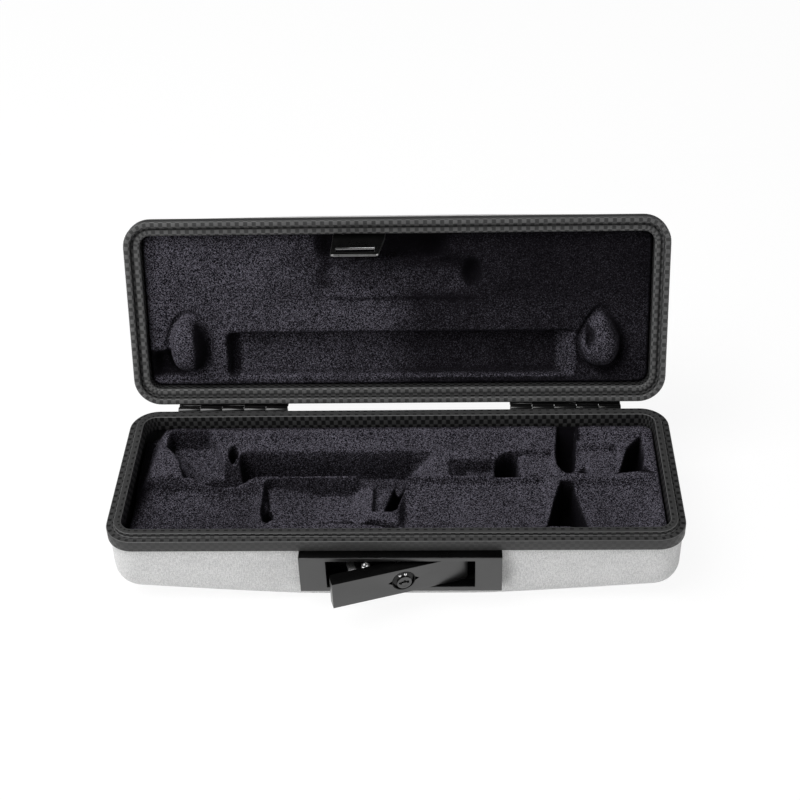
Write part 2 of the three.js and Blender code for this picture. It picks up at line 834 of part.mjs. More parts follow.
function lockCylinder() {
  const y = [latchFaceY + lockSink, leverBackY];
  const barrel = rodAlongY(lockRadius, lockX, y, lockZ, roundSides);
  const bossY = [leverBackY - fitGap, camBackY];
  const boss = rodAlongY(lockBossRadius, lockX, bossY, lockZ, smallSides);
  const keySlot = block(
    [lockX - keySlotLength / 2, lockX + keySlotLength / 2],
    [latchFaceY - cutOverrun, latchFaceY + lockSink + keySlotDepth],
    [lockZ - keySlotWidth / 2, lockZ + keySlotWidth / 2],
  );
  const boreY = [camBackY - camScrewShankLength - fitGap, camBackY + cutOverrun];
  const screwBore = rodAlongY(camScrewShankRadius + fitGap, lockX, boreY, lockZ, smallSides);
  return without(barrel.add(boss), [keySlot, screwBore]);
}

function lockBezel() {
  const y = [latchFaceY - lockRingProud, latchFaceY + lockRingHeight - lockRingProud];
  const through = [y[0] - cutOverrun, y[1] + cutOverrun];
  const disc = rodAlongY(lockRingRadius(), lockX, y, lockZ, roundSides);
  return disc.subtract(rodAlongY(lockRadius + fitGap, lockX, through, lockZ, roundSides));
}

function lockCam() {
  const y = [camFrontY, camBackY];
  const hubRadius = lockBossRadius + fitGap + camHubWall;
  const hub = rodAlongY(hubRadius, lockX, y, lockZ, roundSides);
  const arm = block([lockX, lockX + camLength], y, [lockZ - camWidth / 2, lockZ + camWidth / 2]);
  const through = [camFrontY - cutOverrun, camBackY + cutOverrun];
  return hub.add(arm).subtract(rodAlongY(lockBossRadius + fitGap, lockX, through, lockZ, smallSides));
}

function camScrew() {
  const seatY = camBackY + fitGap;
  const head = [seatY, seatY + camScrewHeadHeight];
  const shank = [camBackY - camScrewShankLength, seatY + camScrewHeadHeight / 2];
  return rodAlongY(camScrewHeadRadius, lockX, head, lockZ, smallSides).add(
    rodAlongY(camScrewShankRadius, lockX, shank, lockZ, smallSides),
  );
}

// Hook and its rivet
function hookRivetPlace() {
  return {
    x: hookRightX - hookRootWidth / 2 + hookBlunting,
    y: leverBackY + hookLugLength / 2,
  };
}

function hookRivetHole() {
  const { x, y } = hookRivetPlace();
  const z = [hookBottomZ - hookLugThickness - cutOverrun, hookTopZ + cutOverrun];
  return rodAlongZ(hookRivetShankRadius + fitGap, x, y, z, smallSides);
}

function latchHook() {
  const rootRight = hookRightX + hookBlunting;
  const rootLeft = rootRight - hookRootWidth;
  const shoulderY = hookFrontY + hookLugLength;
  const plan = [
    [rootLeft, hookFrontY],
    [rootRight, hookFrontY],
    [rootRight, shoulderY - hookBlunting],
    [hookRightX, shoulderY],
    [hookRightX, hookTipY],
    [hookTabLeftX + hookBlunting, hookTipY],
    [hookTabLeftX, hookTipY - hookBlunting],
    [hookTabLeftX, shoulderY - hookBlunting],
  ];
  return prismAlongZ(plan, [hookBottomZ, hookTopZ]).subtract(hookRivetHole());
}

function hookRivet() {
  const { x, y } = hookRivetPlace();
  const seatZ = hookTopZ + fitGap;
  const head = [seatZ, seatZ + hookRivetHeadHeight];
  const shank = [hookBottomZ - hookLugThickness - fitGap, seatZ + hookRivetHeadHeight / 2];
  return rodAlongZ(hookRivetHeadRadius, x, y, head, smallSides).add(
    rodAlongZ(hookRivetShankRadius, x, y, shank, smallSides),
  );
}

// Strike on the lid
function strike() {
  const flangeY = strikeInnerWallY + fitGap;
  const rootZ = parting + strikeRootHeight;
  const tipY = strikeRootY + strikeLength * strikeLeanSlope;
  const half = strikeWidth / 2;
  const outerSide = [
    [flangeY, parting + strikeFlangeTop],
    [flangeY, parting + strikeFlangeFoot],
    [strikeRootY, rootZ],
    [tipY, strikeTipZ],
  ];
  const innerSide = outerSide.map(([y, z]) => [y + strikeThickness, z]).reverse();
  const ends = [strikeOffset - half, strikeOffset + half];
  const blade = prismAlongX(outerSide.concat(innerSide), ends);
  const window = block(
    [windowX - windowLength / 2, windowX + windowLength / 2],
    [flangeY - cutOverrun, tipY + strikeThickness + cutOverrun],
    [windowBottomZ, windowBottomZ + windowHeight],
  );
  const slantPlan = [
    [ends[1], rootZ],
    [ends[1] + cutOverrun, rootZ],
    [ends[1] + cutOverrun, strikeTipZ - cutOverrun],
    [ends[1] - strikeSlant, strikeTipZ - cutOverrun],
  ];
  const slant = slantCut(slantPlan, [flangeY - cutOverrun, tipY + strikeThickness + cutOverrun]);
  return without(blade, [window, slant, ...strikeScrewHoles()]);
}

// A shape of [x, z] points carried along Y
function slantCut(points, y) {
  const geometry = extruded(points, y[1] - y[0]);
  geometry.rotateX(quarterTurn);
  geometry.translate(0, y[1], 0);
  return solidOf(geometry);
}

function strikeScrewPlaces() {
  return [strikeOffset - strikeScrewSpread, strikeOffset + strikeScrewSpread];
}

function strikeScrewSeatY() {
  return strikeInnerWallY + fitGap + strikeThickness + fitGap;
}

function strikeScrewHoles() {
  const seatY = strikeScrewSeatY();
  const y = [seatY - strikeScrewShankLength - fitGap, seatY + cutOverrun];
  return strikeScrewPlaces().map((x) =>
    rodAlongY(strikeScrewShankRadius + fitGap, x, y, parting + strikeScrewHeight, smallSides),
  );
}

function strikeScrew(x) {
  const seatY = strikeScrewSeatY();
  const z = parting + strikeScrewHeight;
  const head = [seatY, seatY + strikeScrewHeadHeight];
  const shank = [seatY - strikeScrewShankLength, seatY + strikeScrewHeadHeight / 2];
  return rodAlongY(strikeScrewHeadRadius, x, head, z, smallSides).add(
    rodAlongY(strikeScrewShankRadius, x, shank, z, smallSides),
  );
}

// Assembly
function turnedGroup(pivot, axis, angle) {
  const group = new THREE.Group();
  group.position.copy(pivot);
  group.setRotationFromAxisAngle(axis, angle);
  group.userData.pivot = pivot;
  return group;
}

function place(group, name, solid, material) {
  const mesh = new THREE.Mesh(geometryOf(solid), material);
  mesh.name = name;
  if (group.userData.pivot) {
    mesh.position.copy(group.userData.pivot).negate();
  }
  group.add(mesh);
}

const piccoloCase = new THREE.Group();
const hingeAxis = new THREE.Vector3(1, 0, 0);
const leverAxis = new THREE.Vector3(0, 0, 1);
const lidGroup = turnedGroup(
  new THREE.Vector3(0, hingeY, hingeZ),
  hingeAxis,
  -openDegrees * degree,
);
const leverGroup = turnedGroup(
  new THREE.Vector3(pivotX, pivotY, lockZ),
  leverAxis,
  leverOpenDegrees * degree,
);
piccoloCase.add(lidGroup, leverGroup);

place(piccoloCase, "lower_cover", lowerCover(), materials.fabric);
place(piccoloCase, "lower_shell", lowerShell(), materials.shell);
place(piccoloCase, "lower_rim", lowerRim(), materials.rim);
place(piccoloCase, "lower_liner", lowerLiner(), materials.velvet);
place(lidGroup, "lid_cover", lidCover(), materials.fabric);
place(lidGroup, "lid_shell", lidShell(), materials.shell);
place(lidGroup, "lid_rim", lidRim(), materials.rim);
place(lidGroup, "lid_liner", lidLiner(), materials.velvet);

const hinges = [
  { name: "left", centreX: -hingeSpread },
  { name: "right", centreX: hingeSpread },
];
for (const { name, centreX } of hinges) {
  place(piccoloCase, `hinge_${name}_base_leaf`, hingeLeaf(lowerHalf, centreX), materials.blackMetal);
  place(lidGroup, `hinge_${name}_lid_leaf`, hingeLeaf(upperHalf, centreX), materials.blackMetal);
  place(piccoloCase, `hinge_${name}_pin`, hingePin(centreX), materials.blackMetal);
}
rivetPlaces(lowerHalf).forEach((spot, n) =>
  place(piccoloCase, `hinge_base_rivet_${n + 1}`, hingeRivet(lowerHalf, spot), materials.blackMetal),
);
rivetPlaces(upperHalf).forEach((spot, n) =>
  place(lidGroup, `hinge_lid_rivet_${n + 1}`, hingeRivet(upperHalf, spot), materials.blackMetal),
);

place(piccoloCase, "latch_bezel", latchBezel(), materials.bezel);
place(piccoloCase, "latch_housing", latchHousing(), materials.blackMetal);
place(piccoloCase, "lever_pin", leverPin(), materials.steel);
latchScrewPlaces().forEach((x, n) =>
  place(piccoloCase, `latch_screw_${n + 1}`, latchScrew(x), materials.steel),
);
place(leverGroup, "latch_lever", latchLever(), materials.bezel);
place(leverGroup, "lock_cylinder", lockCylinder(), materials.blackMetal);
place(leverGroup, "lock_bezel", lockBezel(), materials.blackMetal);
place(leverGroup, "lock_cam", lockCam(), materials.steel);
place(leverGroup, "cam_screw", camScrew(), materials.steel);
place(leverGroup, "latch_hook", latchHook(), materials.steel);
place(leverGroup, "hook_rivet", hookRivet(), materials.steel);

place(lidGroup, "strike", strike(), materials.blackMetal);
strikeScrewPlaces().forEach((x, n) =>
  place(lidGroup, `strike_screw_${n + 1}`, strikeScrew(x), materials.blackMetal),
);

export default piccoloCase;
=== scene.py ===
import json
import math

import bmesh
import bpy
from mathutils import Matrix, Vector, noise


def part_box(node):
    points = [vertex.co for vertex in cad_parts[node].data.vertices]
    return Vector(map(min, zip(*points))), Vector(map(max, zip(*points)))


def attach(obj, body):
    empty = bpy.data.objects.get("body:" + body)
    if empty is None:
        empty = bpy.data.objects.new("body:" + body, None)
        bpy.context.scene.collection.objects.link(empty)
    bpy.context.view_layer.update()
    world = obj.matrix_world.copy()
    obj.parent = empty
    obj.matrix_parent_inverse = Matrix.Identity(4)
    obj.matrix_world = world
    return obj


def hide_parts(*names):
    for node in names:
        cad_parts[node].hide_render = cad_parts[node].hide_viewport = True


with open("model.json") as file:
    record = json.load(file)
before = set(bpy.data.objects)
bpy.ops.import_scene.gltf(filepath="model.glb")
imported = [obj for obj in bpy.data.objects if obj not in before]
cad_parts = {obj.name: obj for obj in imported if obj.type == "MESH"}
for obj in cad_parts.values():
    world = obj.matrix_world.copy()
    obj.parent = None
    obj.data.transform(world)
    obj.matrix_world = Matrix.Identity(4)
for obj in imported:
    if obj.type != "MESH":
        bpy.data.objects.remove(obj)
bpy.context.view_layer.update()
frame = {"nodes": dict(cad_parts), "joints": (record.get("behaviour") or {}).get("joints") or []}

bl_info = {
    "name": "Piccolo Case",
    "version": (1, 0, 0),
    "blender": (4, 5, 0),
    "location": "3D View > Sidebar > Case",
    "description": "Makes the covered shells, rims, velvet pads, hinges and latch of a piccolo case",
    "category": "Object",
}

MM = 0.001
NEAR = MM / 100
RIGHT_ANGLE = math.pi / 2

# Places that come from the frame
rim_low, rim_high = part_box("lower_rim")
bezel_low, bezel_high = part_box("latch_bezel")
joints = {joint["name"]: joint for joint in frame["joints"]}
hinge_place = Vector(joints["lid_hinge"]["pos_m"])
pivot_place = Vector(joints["lever_pivot"]["pos_m"])
lid_turn = math.radians(joints["lid_hinge"]["range_deg"][1])
lever_turn = math.radians(joints["lever_pivot"]["range_deg"][1])


def length(label, words, value):
    return bpy.props.FloatProperty(
        name=label, description=words, default=value, min=0.0, unit="LENGTH", precision=5
    )


def power(label, words, value):
    return bpy.props.FloatProperty(name=label, description=words, default=value, min=0, unit="POWER")


def count(label, words, value, **limits):
    return bpy.props.IntProperty(name=label, description=words, default=value, **limits)


def shade(label, words, *value):
    """A colour; one value alone makes a grey."""
    default = value if len(value) == 3 else value * 3
    return bpy.props.FloatVectorProperty(
        name=label, description=words, default=default, min=0.0, max=1.0, size=3, subtype="COLOR"
    )


def amount(label, words, value, high=1.0):
    return bpy.props.FloatProperty(
        name=label, description=words, default=value, min=0.0, max=high
    )


class CaseSizes(bpy.types.PropertyGroup):
    corner: length("Corner radius", "Radius of the rims' outer corners", 12 * MM)
    lip: length("Lip height", "Height of the base rim's inner lip", 1.7 * MM)
    ledge: length("Ledge width", "Width of the base rim's outer ledge", 3.3 * MM)
    rim: length("Rim width", "Width of the base rim over its ledge and lip", 6.4 * MM)
    face: length("Rim face height", "Height of a rim's outer face", 5.3 * MM)
    lid_rim: length("Lid rim width", "Width of the lid's rim over both bands", 7 * MM)
    cover: length("Cover thickness", "Thickness of the woven cover", 0.8 * MM)
    cover_inset: length("Cover inset", "How far a cover starts inside the rim's face", 0.9 * MM)
    base_height: length("Base height", "Height of the base's parting plane", 36 * MM)
    lid_height: length("Lid height", "Height of the lid over the parting plane", 21 * MM)
    base_edge: length("Base edge radius", "Radius of the base's long edges", 9 * MM)
    lid_edge: length("Lid edge radius", "Radius of the lid's long edges", 8 * MM)
    base_draft: amount("Base draft", "Slope of the base's walls over their height", 0.00524)
    lid_draft: amount("Lid draft", "Slope of the lid's walls over their height", 0.0787)
    flat: length("Flat length", "Half length of the level middle of both floors", 36 * MM)
    base_rise: length("Base rise", "How far the base's ends rise", 6.5 * MM)
    lid_rise: length("Lid rise", "How far the lid's ends fall", 4 * MM)
    tray_cell: length("Tray cell", "Cell of the grid that the tray is shaped from", 0.5 * MM)
    pad_cell: length("Pad cell", "Cell of the grid that the lid's pad is shaped from", 0.7 * MM)
    softness: length("Pad softness", "How far the pads' edges are rounded off", 0.6 * MM)
    knuckles: count("Knuckles", "Knuckles on each hinge", 5, min=3, max=9)
    squares: count("Squares", "Pairs of moulded squares once round a rim", 169, min=20)


class CaseColours(bpy.types.PropertyGroup):
    fabric: shade("Fabric", "Light threads of the woven cover", 0.835, 0.835, 0.83)
    fabric_dark: shade("Fabric shadow", "Darker threads of the cover", 0.55)
    rim: shade("Rim", "Raised squares of the rims", 0.046)
    # Lighter than the rim: it paints a highlight on the rims' rounded edges, and it is the light
    # colour of the lid's bands
    rim_edge: shade("Rim edges", "Rounded edges of the rims", 0.11)
    rim_dark: shade("Rim squares", "Sunk squares of the rims", 0.0012)
    velvet: shade("Velvet", "Lit pile of the velvet", 0.148, 0.14, 0.172)
    velvet_dark: shade("Velvet depth", "Depth of the velvet's pile", 0.003, 0.0026, 0.0036)
    black: shade("Black metal", "The lock and what lies in shadow", 0.012)
    hinge: shade("Hinge metal", "Leaves and knuckles of the hinges", 0.04)
    latch: shade("Latch metal", "Bezel, lever and strike", 0.092)
    steel: shade("Steel", "Hook, pins and screws", 0.8)
    shell: shade("Shell", "Moulded shells under the covers", 0.04, 0.04, 0.042)


class CaseStage(bpy.types.PropertyGroup):
    key: power("Key light", "Power of the main lamp", 17)
    fill: power("Fill light", "Power of the front lamp", 3.0)
    bounce: power("Bounce light", "Power of the lamp at the right", 2.6)
    sky: amount("Sky", "Strength of the plain surroundings", 0.14, 4.0)
    floor: length("Floor size", "Side of the square floor", 8.0)


# Calls shared by the pieces


def sizes():
    return bpy.context.scene.case_sizes


def colours():
    return bpy.context.scene.case_colours


def let_go():
    """Leave edit mode and deselect everything."""
    if bpy.context.mode != "OBJECT":
        bpy.ops.object.mode_set(mode="OBJECT")
    bpy.ops.object.select_all(action="DESELECT")


def mm(*values):
    """Millimetres in metres."""
    return tuple(value * MM for value in values)


def active(piece):
    let_go()
    bpy.context.view_layer.objects.active = piece
    piece.select_set(True)


def edit(piece):
    active(piece)
    bpy.ops.object.mode_set(mode="EDIT")


def pick(piece, kind, test):
    """Select the faces or edges for which test holds, and nothing else."""
    bpy.ops.mesh.select_mode(type="VERT")
    bpy.ops.mesh.select_all(action="DESELECT")
    bpy.ops.mesh.select_mode(type={"faces": "FACE", "edges": "EDGE"}[kind])
    mesh = bmesh.from_edit_mesh(piece.data)
    mesh.normal_update()
    found = [item for item in getattr(mesh, kind) if test(item)]
    for item in found:
        item.select_set(True)
    mesh.select_flush_mode()
    bmesh.update_edit_mesh(piece.data)
    if not found:
        raise RuntimeError(f"{piece.name}: no {kind} were found to shape")


def middle(edge):
    return (edge.verts[0].co + edge.verts[1].co) / 2


def along(edge):
    """The direction of an edge."""
    return (edge.verts[1].co - edge.verts[0].co).normalized()


def keep(name):
    """Name the object just added, with its place and size in its mesh."""
    piece = bpy.context.object
    piece.name = name
    piece.data.name = name
    bpy.ops.object.transform_apply(location=True, rotation=True, scale=True)
    return piece


def block(name, x, y, z):
    let_go()
    centre = [sum(pair) / 2 for pair in (x, y, z)]
    span = [pair[1] - pair[0] for pair in (x, y, z)]
    bpy.ops.mesh.primitive_cube_add(size=1, location=centre, scale=span)
    return keep(name)


def rod(name, radius, ends, axis, place, sides=32):
    """A round bar along an axis between two ends, at the other two coordinates of place."""
    let_go()
    centre = list(place)
    centre[axis] = (ends[0] + ends[1]) / 2
    turned = [(0, RIGHT_ANGLE, 0), (RIGHT_ANGLE, 0, 0), (0, 0, 0)][axis]
    bpy.ops.mesh.primitive_cylinder_add(
        vertices=sides, radius=radius, depth=abs(ends[1] - ends[0]), location=centre, rotation=turned
    )
    return keep(name)


def bevel(piece, test, width, parts, **how):
    """Round the edges that test finds."""
    pick(piece, "edges", test)
    bpy.ops.mesh.bevel(offset=width, segments=parts, affect="EDGES", **how)


def slab(name, inset, low, high):
    """A block with the case's rounded outline, drawn in by inset."""
    reach_x, reach_y = rim_high.x - inset, rim_high.y - inset
    piece = block(name, (-reach_x, reach_x), (-reach_y, reach_y), (low, high))
    edit(piece)
    bevel(piece, lambda edge: abs(along(edge).z) > 0.9, sizes().corner - inset, 12)
    return piece


def walk(piece, test, moves):
    """From the face that test finds, inset and lift in turn: each move is (inset, lift)."""
    pick(piece, "faces", test)
    for inset, lift in moves:
        if inset:
            bpy.ops.mesh.inset(thickness=inset, depth=lift, use_even_offset=True)
        else:
            bpy.ops.mesh.extrude_region_shrink_fatten(TRANSFORM_OT_shrink_fatten={"value": lift})


def hollow_out(piece, test, moves):
    """Walk inwards from a face, and leave the last one open."""
    walk(piece, test, moves)
    bpy.ops.mesh.delete(type="FACE")


def faces_at(side, height=None):
    """A test for level faces that look up (1) or down (-1), at a height if one is given."""

    def test(face):
        level = face.normal.z * side > 0.9
        return level and (height is None or abs(face.calc_center_median().z - height) < NEAR)

    return test


def in_window(face, x_span, z_span):
    centre = face.calc_center_median()
    return x_span[0] < centre.x < x_span[1] and z_span[0] < centre.z < z_span[1]


def pierce(piece, x_span, z_span):
    """Open a window from the front of a plate to its back."""
    pick(piece, "faces", lambda face: abs(face.normal.y) > 0.9 and in_window(face, x_span, z_span))
    bpy.ops.mesh.bridge_edge_loops()


def shift(piece, move):
    """Let move change the place of each vertex."""
    mesh = bmesh.from_edit_mesh(piece.data)
    for vertex in mesh.verts:
        move(vertex.co)
    bmesh.update_edit_mesh(piece.data)


def paint(piece, finishes, slot_at):
    """Add materials by name, and give each face the one whose number slot_at tells."""
    for name in finishes:
        piece.data.materials.append(material(name))
    for face in piece.data.polygons:
        face.material_index = int(slot_at(face))


def cut(piece, axis, places, test=None):
    """Cut the faces that test finds, or all, square to an axis at each place."""
    for place in places:
        where, normal = [0, 0, 0], [0, 0, 0]
        where[axis], normal[axis] = place, 1
        pick(piece, "faces", test or (lambda face: True))
        bpy.ops.mesh.bisect(plane_co=where, plane_no=normal)


def tidy(piece, merge=0.00001):
    """Merge doubles and point every face outwards."""
    bpy.ops.mesh.select_all(action="SELECT")
    bpy.ops.mesh.remove_doubles(threshold=merge)
    bpy.ops.mesh.normals_make_consistent(inside=False)
    let_go()
    piece.select_set(True)


def use_modifier(piece, kind, **values):
    active(piece)
    modifier = piece.modifiers.new(kind.title(), kind)
    for name, value in values.items():
        setattr(modifier, name, value)
    bpy.ops.object.modifier_apply(modifier=modifier.name)


def soften(piece, width, parts=3, angle=30):
    """Round every edge sharper than the angle."""
    limit = math.radians(angle)
    use_modifier(
        piece, "BEVEL", width=width, segments=parts, limit_method="ANGLE", angle_limit=limit
    )


def smooth(piece, angle=38):
    active(piece)
    bpy.ops.object.shade_smooth_by_angle(angle=math.radians(angle))


def carve(piece, cutter):
    """Take the cutter's shape out of the piece."""
    use_modifier(piece, "BOOLEAN", operation="DIFFERENCE", solver="EXACT", object=cutter)
    bpy.data.objects.remove(cutter)


def join(pieces):
    """Join several objects into the first."""
    let_go()
    for piece in pieces:
        piece.select_set(True)
    bpy.context.view_layer.objects.active = pieces[0]
    bpy.ops.object.join()
    return pieces[0]


def turn(piece, angle, axis, centre):
    """Turn a piece about an axis through a point, and keep the turn in its mesh."""
    active(piece)
    bpy.ops.transform.rotate(
        value=-angle, orient_axis=axis, orient_type="GLOBAL", center_override=centre
    )
    bpy.ops.object.transform_apply(location=True, rotation=True, scale=True)


def open_lid(piece):
    turn(piece, -lid_turn, "X", hinge_place)


def open_lever(piece):
    turn(piece, lever_turn, "Z", pivot_place)


def finish_piece(piece, material, body, nodes):
    """Give a piece its material, its body, its slot and the nodes that it stands for."""
    if not piece.data.materials:
        piece.data.materials.append(material)
    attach(piece, body)
    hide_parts(*nodes)


# Where a point lies on the case's outline


def lap(x, y):
    """How far round the outline a point is, from the middle of the right side."""
    size = sizes()
    centre_x, centre_y = rim_high.x - size.corner, rim_high.y - size.corner
    quarter = centre_y + size.corner * RIGHT_ANGLE + centre_x
    ax, ay = abs(x), abs(y)
    if ax > centre_x and ay > centre_y:
        run = centre_y + size.corner * math.atan2(ay - centre_y, ax - centre_x)
    elif rim_high.x - ax < rim_high.y - ay:
        run = ay
    else:
        run = quarter - ax
    if x < 0:
        run = 2 * quarter - run
    if y < 0:
        run = 4 * quarter - run
    return run, 4 * quarter


def inset_of_box(x, y, half_x, half_y, corner):
    """How far inside a rounded rectangle a point is."""
    over_x, over_y = abs(x) - (half_x - corner), abs(y) - (half_y - corner)
    if over_x > 0 and over_y > 0:
        return corner - math.hypot(over_x, over_y)
    return min(half_x - abs(x), half_y - abs(y))


def inset_of(place):
    """How far inside the case's outline a point is."""
    return inset_of_box(place.x, place.y, rim_high.x, rim_high.y, sizes().corner)


def lay_out(piece, name, uv_at):
    """A UV map from uv_at(place, face, how far round the case the place is)."""
    mesh = piece.data
    layer = mesh.uv_layers.new(name=name)
    for face in mesh.polygons:
        start, whole = lap(face.center.x, face.center.y)
        for corner in face.loop_indices:
            co = mesh.vertices[mesh.loops[corner].vertex_index].co
            run = lap(co.x, co.y)[0]
            if run - start > whole / 2:
                run -= whole
            if start - run > whole / 2:
                run += whole
            layer.data[corner].uv = uv_at(co, face, run)


# Effects shared by several materials


def group_of(name, outputs, **values):
    """A new group that takes a place and values: its tree, its given sockets and its results."""
    tree = bpy.data.node_groups.new(name, "ShaderNodeTree")
    add = tree.interface.new_socket
    add(name="Place", in_out="INPUT", socket_type="NodeSocketVector")
    for label, value in values.items():
        socket = add(name=label.replace("_", " "), in_out="INPUT", socket_type="NodeSocketFloat")
        socket.default_value = value
    for label in outputs:
        add(name=label, in_out="OUTPUT", socket_type="NodeSocketFloat")
    given, out = tree.nodes.new("NodeGroupInput"), tree.nodes.new("NodeGroupOutput")
    return tree, given.outputs, out.inputs


def node(tree, kind, inputs=None, **values):
    """A node with its settings, and its inputs set to values or linked to sockets."""
    made = tree.nodes.new("ShaderNode" + kind)
    for name, value in values.items():
        setattr(made, name, value)
    for name, value in (inputs or {}).items():
        if isinstance(value, bpy.types.NodeSocket):
            tree.links.new(value, made.inputs[name])
        else:
            made.inputs[name].default_value = value
    return made


def maths(tree, operation, *inputs):
    return node(tree, "Math", dict(enumerate(inputs)), operation=operation).outputs[0]


def times(tree, first, second):
    return maths(tree, "MULTIPLY", first, second)


def scaled(tree, first, second, third):
    """First times second, plus third."""
    return maths(tree, "MULTIPLY_ADD", first, second, third)


def noise_of(tree, place, scale, detail):
    inputs = {"Vector": place, "Scale": scale, "Detail": detail}
    return node(tree, "TexNoise", inputs).outputs["Fac"]


def between(tree, value, low, high, out_low=0.0, out_high=1.0):
    """A value carried smoothly from one span to another."""
    spans = {"From Min": low, "From Max": high, "To Min": out_low, "To Max": out_high}
    made = node(tree, "MapRange", {"Value": value, **spans}, interpolation_type="SMOOTHSTEP")
    return made.outputs["Result"]


def blend_colours(tree, share, first, second):
    mix = node(tree, "Mix", data_type="RGBA")
    for index, value in ((0, share), (6, first), (7, second)):
        if isinstance(value, bpy.types.NodeSocket):
            tree.links.new(value, mix.inputs[index])
        elif index:
            mix.inputs[index].default_value = (*value[:3], 1)
        else:
            mix.inputs[index].default_value = value
    return mix.outputs[2]


def squares_group():
    """Moulded squares in rows: a mask of the sunk squares and a height."""
    tree, given, out = group_of(
        "Moulded squares", ("Mask", "Height"), Pairs_per_metre=268.0, Edge=0.12, Gap=0.0
    )
    split = node(tree, "SeparateXYZ", {0: given["Place"]})
    pace = times(tree, given["Pairs per metre"], 2 * math.pi)
    waves = [maths(tree, "SINE", times(tree, split.outputs[axis], pace)) for axis in "XY"]
    low = times(tree, given["Edge"], -1.0)
    signs = []
    for sign in (1.0, -1.0):
        sides = []
        for wave in waves:
            level = maths(tree, "SUBTRACT", times(tree, wave, sign), given["Gap"])
            sides.append(between(tree, level, low, given["Edge"]))
        signs.append(times(tree, *sides))
    mask = maths(tree, "ADD", *signs)
    # Fine ribs that cross from square to square
    rib_pace = times(tree, pace, 5.0)
    rib_u = maths(tree, "SINE", times(tree, split.outputs["X"], rib_pace))
    rib_v = maths(tree, "SINE", times(tree, split.outputs["Y"], rib_pace))
    ribs = node(tree, "Mix", {0: mask, 2: rib_u, 3: rib_v}).outputs[0]
    sunk = times(tree, mask, -1.0)
    height = maths(tree, "ADD", sunk, times(tree, ribs, 0.12))
    tree.links.new(mask, out["Mask"])
    tree.links.new(height, out["Height"])
    return tree


def weave_group():
    """Plain weave with slubs: a mask of shaded threads and a height."""
    tree, given, out = group_of("Woven threads", ("Shade", "Height"), Threads_per_metre=2000.0)
    place = given["Place"]
    split = node(tree, "SeparateXYZ", {0: place})
    pace = times(tree, given["Threads per metre"], math.pi)
    push = times(tree, noise_of(tree, place, 260.0, 1.0), 5.0)
    warp = maths(tree, "SINE", scaled(tree, split.outputs["X"], pace, push))
    weft = maths(tree, "SINE", scaled(tree, split.outputs["Y"], pace, push))
    over = times(tree, warp, weft)
    # Threads that run darker or lighter for a while, in both directions
    streaks = []
    for stretch in ((2300.0, 420.0, 1.0), (420.0, 2300.0, 1.0)):
        drawn = node(tree, "VectorMath", {0: place, 1: stretch}, operation="MULTIPLY").outputs[0]
        streaks.append(between(tree, noise_of(tree, drawn, 1.0, 2.0), 0.3, 0.72))
    upright = times(tree, streaks[0], 0.55)
    level = times(tree, streaks[1], 0.32)
    fibres = noise_of(tree, place, 2100.0, 3.0)
    patches = noise_of(tree, place, 120.0, 3.0)
    total = maths(tree, "ADD", upright, level)
    total = scaled(tree, over, 0.16, total)
    for grain, share in ((fibres, 2.4), (patches, 0.5)):
        total = scaled(tree, maths(tree, "SUBTRACT", grain, 0.5), share, total)
    tree.links.new(between(tree, total, -0.15, 0.95), out["Shade"])
    tree.links.new(scaled(tree, over, 0.5, fibres), out["Height"])
    return tree


def pile_group():
    """Velvet pile: sharp speckle over soft brushing marks."""
    tree, given, out = group_of("Velvet pile", ("Lit", "Height"), Speckles_per_metre=2000.0)
    place = given["Place"]
    pace = given["Speckles per metre"]
    tuft = node(tree, "TexVoronoi", {"Vector": place, "Scale": pace})
    split = node(tree, "SeparateColor", {0: tuft.outputs["Color"]})
    random_lit = maths(tree, "POWER", split.outputs[0], 2.8)
    clumps = between(tree, noise_of(tree, place, 2400.0, 1.0), 0.35, 0.65, 0.5, 1.65)
    worn = between(tree, noise_of(tree, place, 60.0, 4.0), 0.3, 0.7, 0.75, 1.15)
    lit = times(tree, times(tree, random_lit, clumps), worn)
    tree.links.new(lit, out["Lit"])
    tree.links.new(split.outputs[1], out["Height"])
    return tree


def grain_group():
    """Fine moulded or sprayed grain with faint cloudy patches, for plastics and painted metal."""
    outputs = ("Variation", "Height")
    tree, given, out = group_of("Fine grain", outputs, Grains_per_metre=2500.0, Clouds=0.5)
    fine = noise_of(tree, given["Place"], given["Grains per metre"], 2.0)
    patches = times(tree, noise_of(tree, given["Place"], 70.0, 3.0), given["Clouds"])
    total = scaled(tree, fine, 0.5, patches)
    tree.links.new(between(tree, total, 0.2, 0.8), out["Variation"])
    tree.links.new(fine, out["Height"])
    return tree


def wear_group():
    """Paint rubbed thin on edges: a mask from the mesh's own shape and a scuffed noise."""
    tree, given, out = group_of("Rubbed edges", ("Mask",), Reach=0.5)
    edge = between(tree, node(tree, "NewGeometry").outputs["Pointiness"], 0.52, 0.6)
    rough = between(tree, noise_of(tree, given["Place"], 900.0, 3.0), given["Reach"], 0.75)
    tree.links.new(times(tree, edge, rough), out["Mask"])
    return tree


shared_groups = {}


def effect(tree, build, place, **values):
    """A node of the shared group that build makes, with its values set."""
    if build not in shared_groups:
        shared_groups[build] = build()
    made = node(tree, "Group", {"Place": place}, node_tree=shared_groups[build])
    for label, value in values.items():
        made.inputs[label.replace("_", " ")].default_value = value
    return made.outputs


def material_of(name, **surface):
    """A new material, its tree and its Principled shader with plain values set."""
    made = bpy.data.materials.new(name)
    made.use_nodes = True
    tree = made.node_tree
    shader = tree.nodes["Principled BSDF"]
    for label, value in surface.items():
        shader.inputs[label.replace("_", " ")].default_value = value
    return made, tree, shader


def object_place(tree):
    return node(tree, "TexCoord").outputs["Object"]


def map_place(tree, name):
    return node(tree, "UVMap", uv_map=name).outputs["UV"]


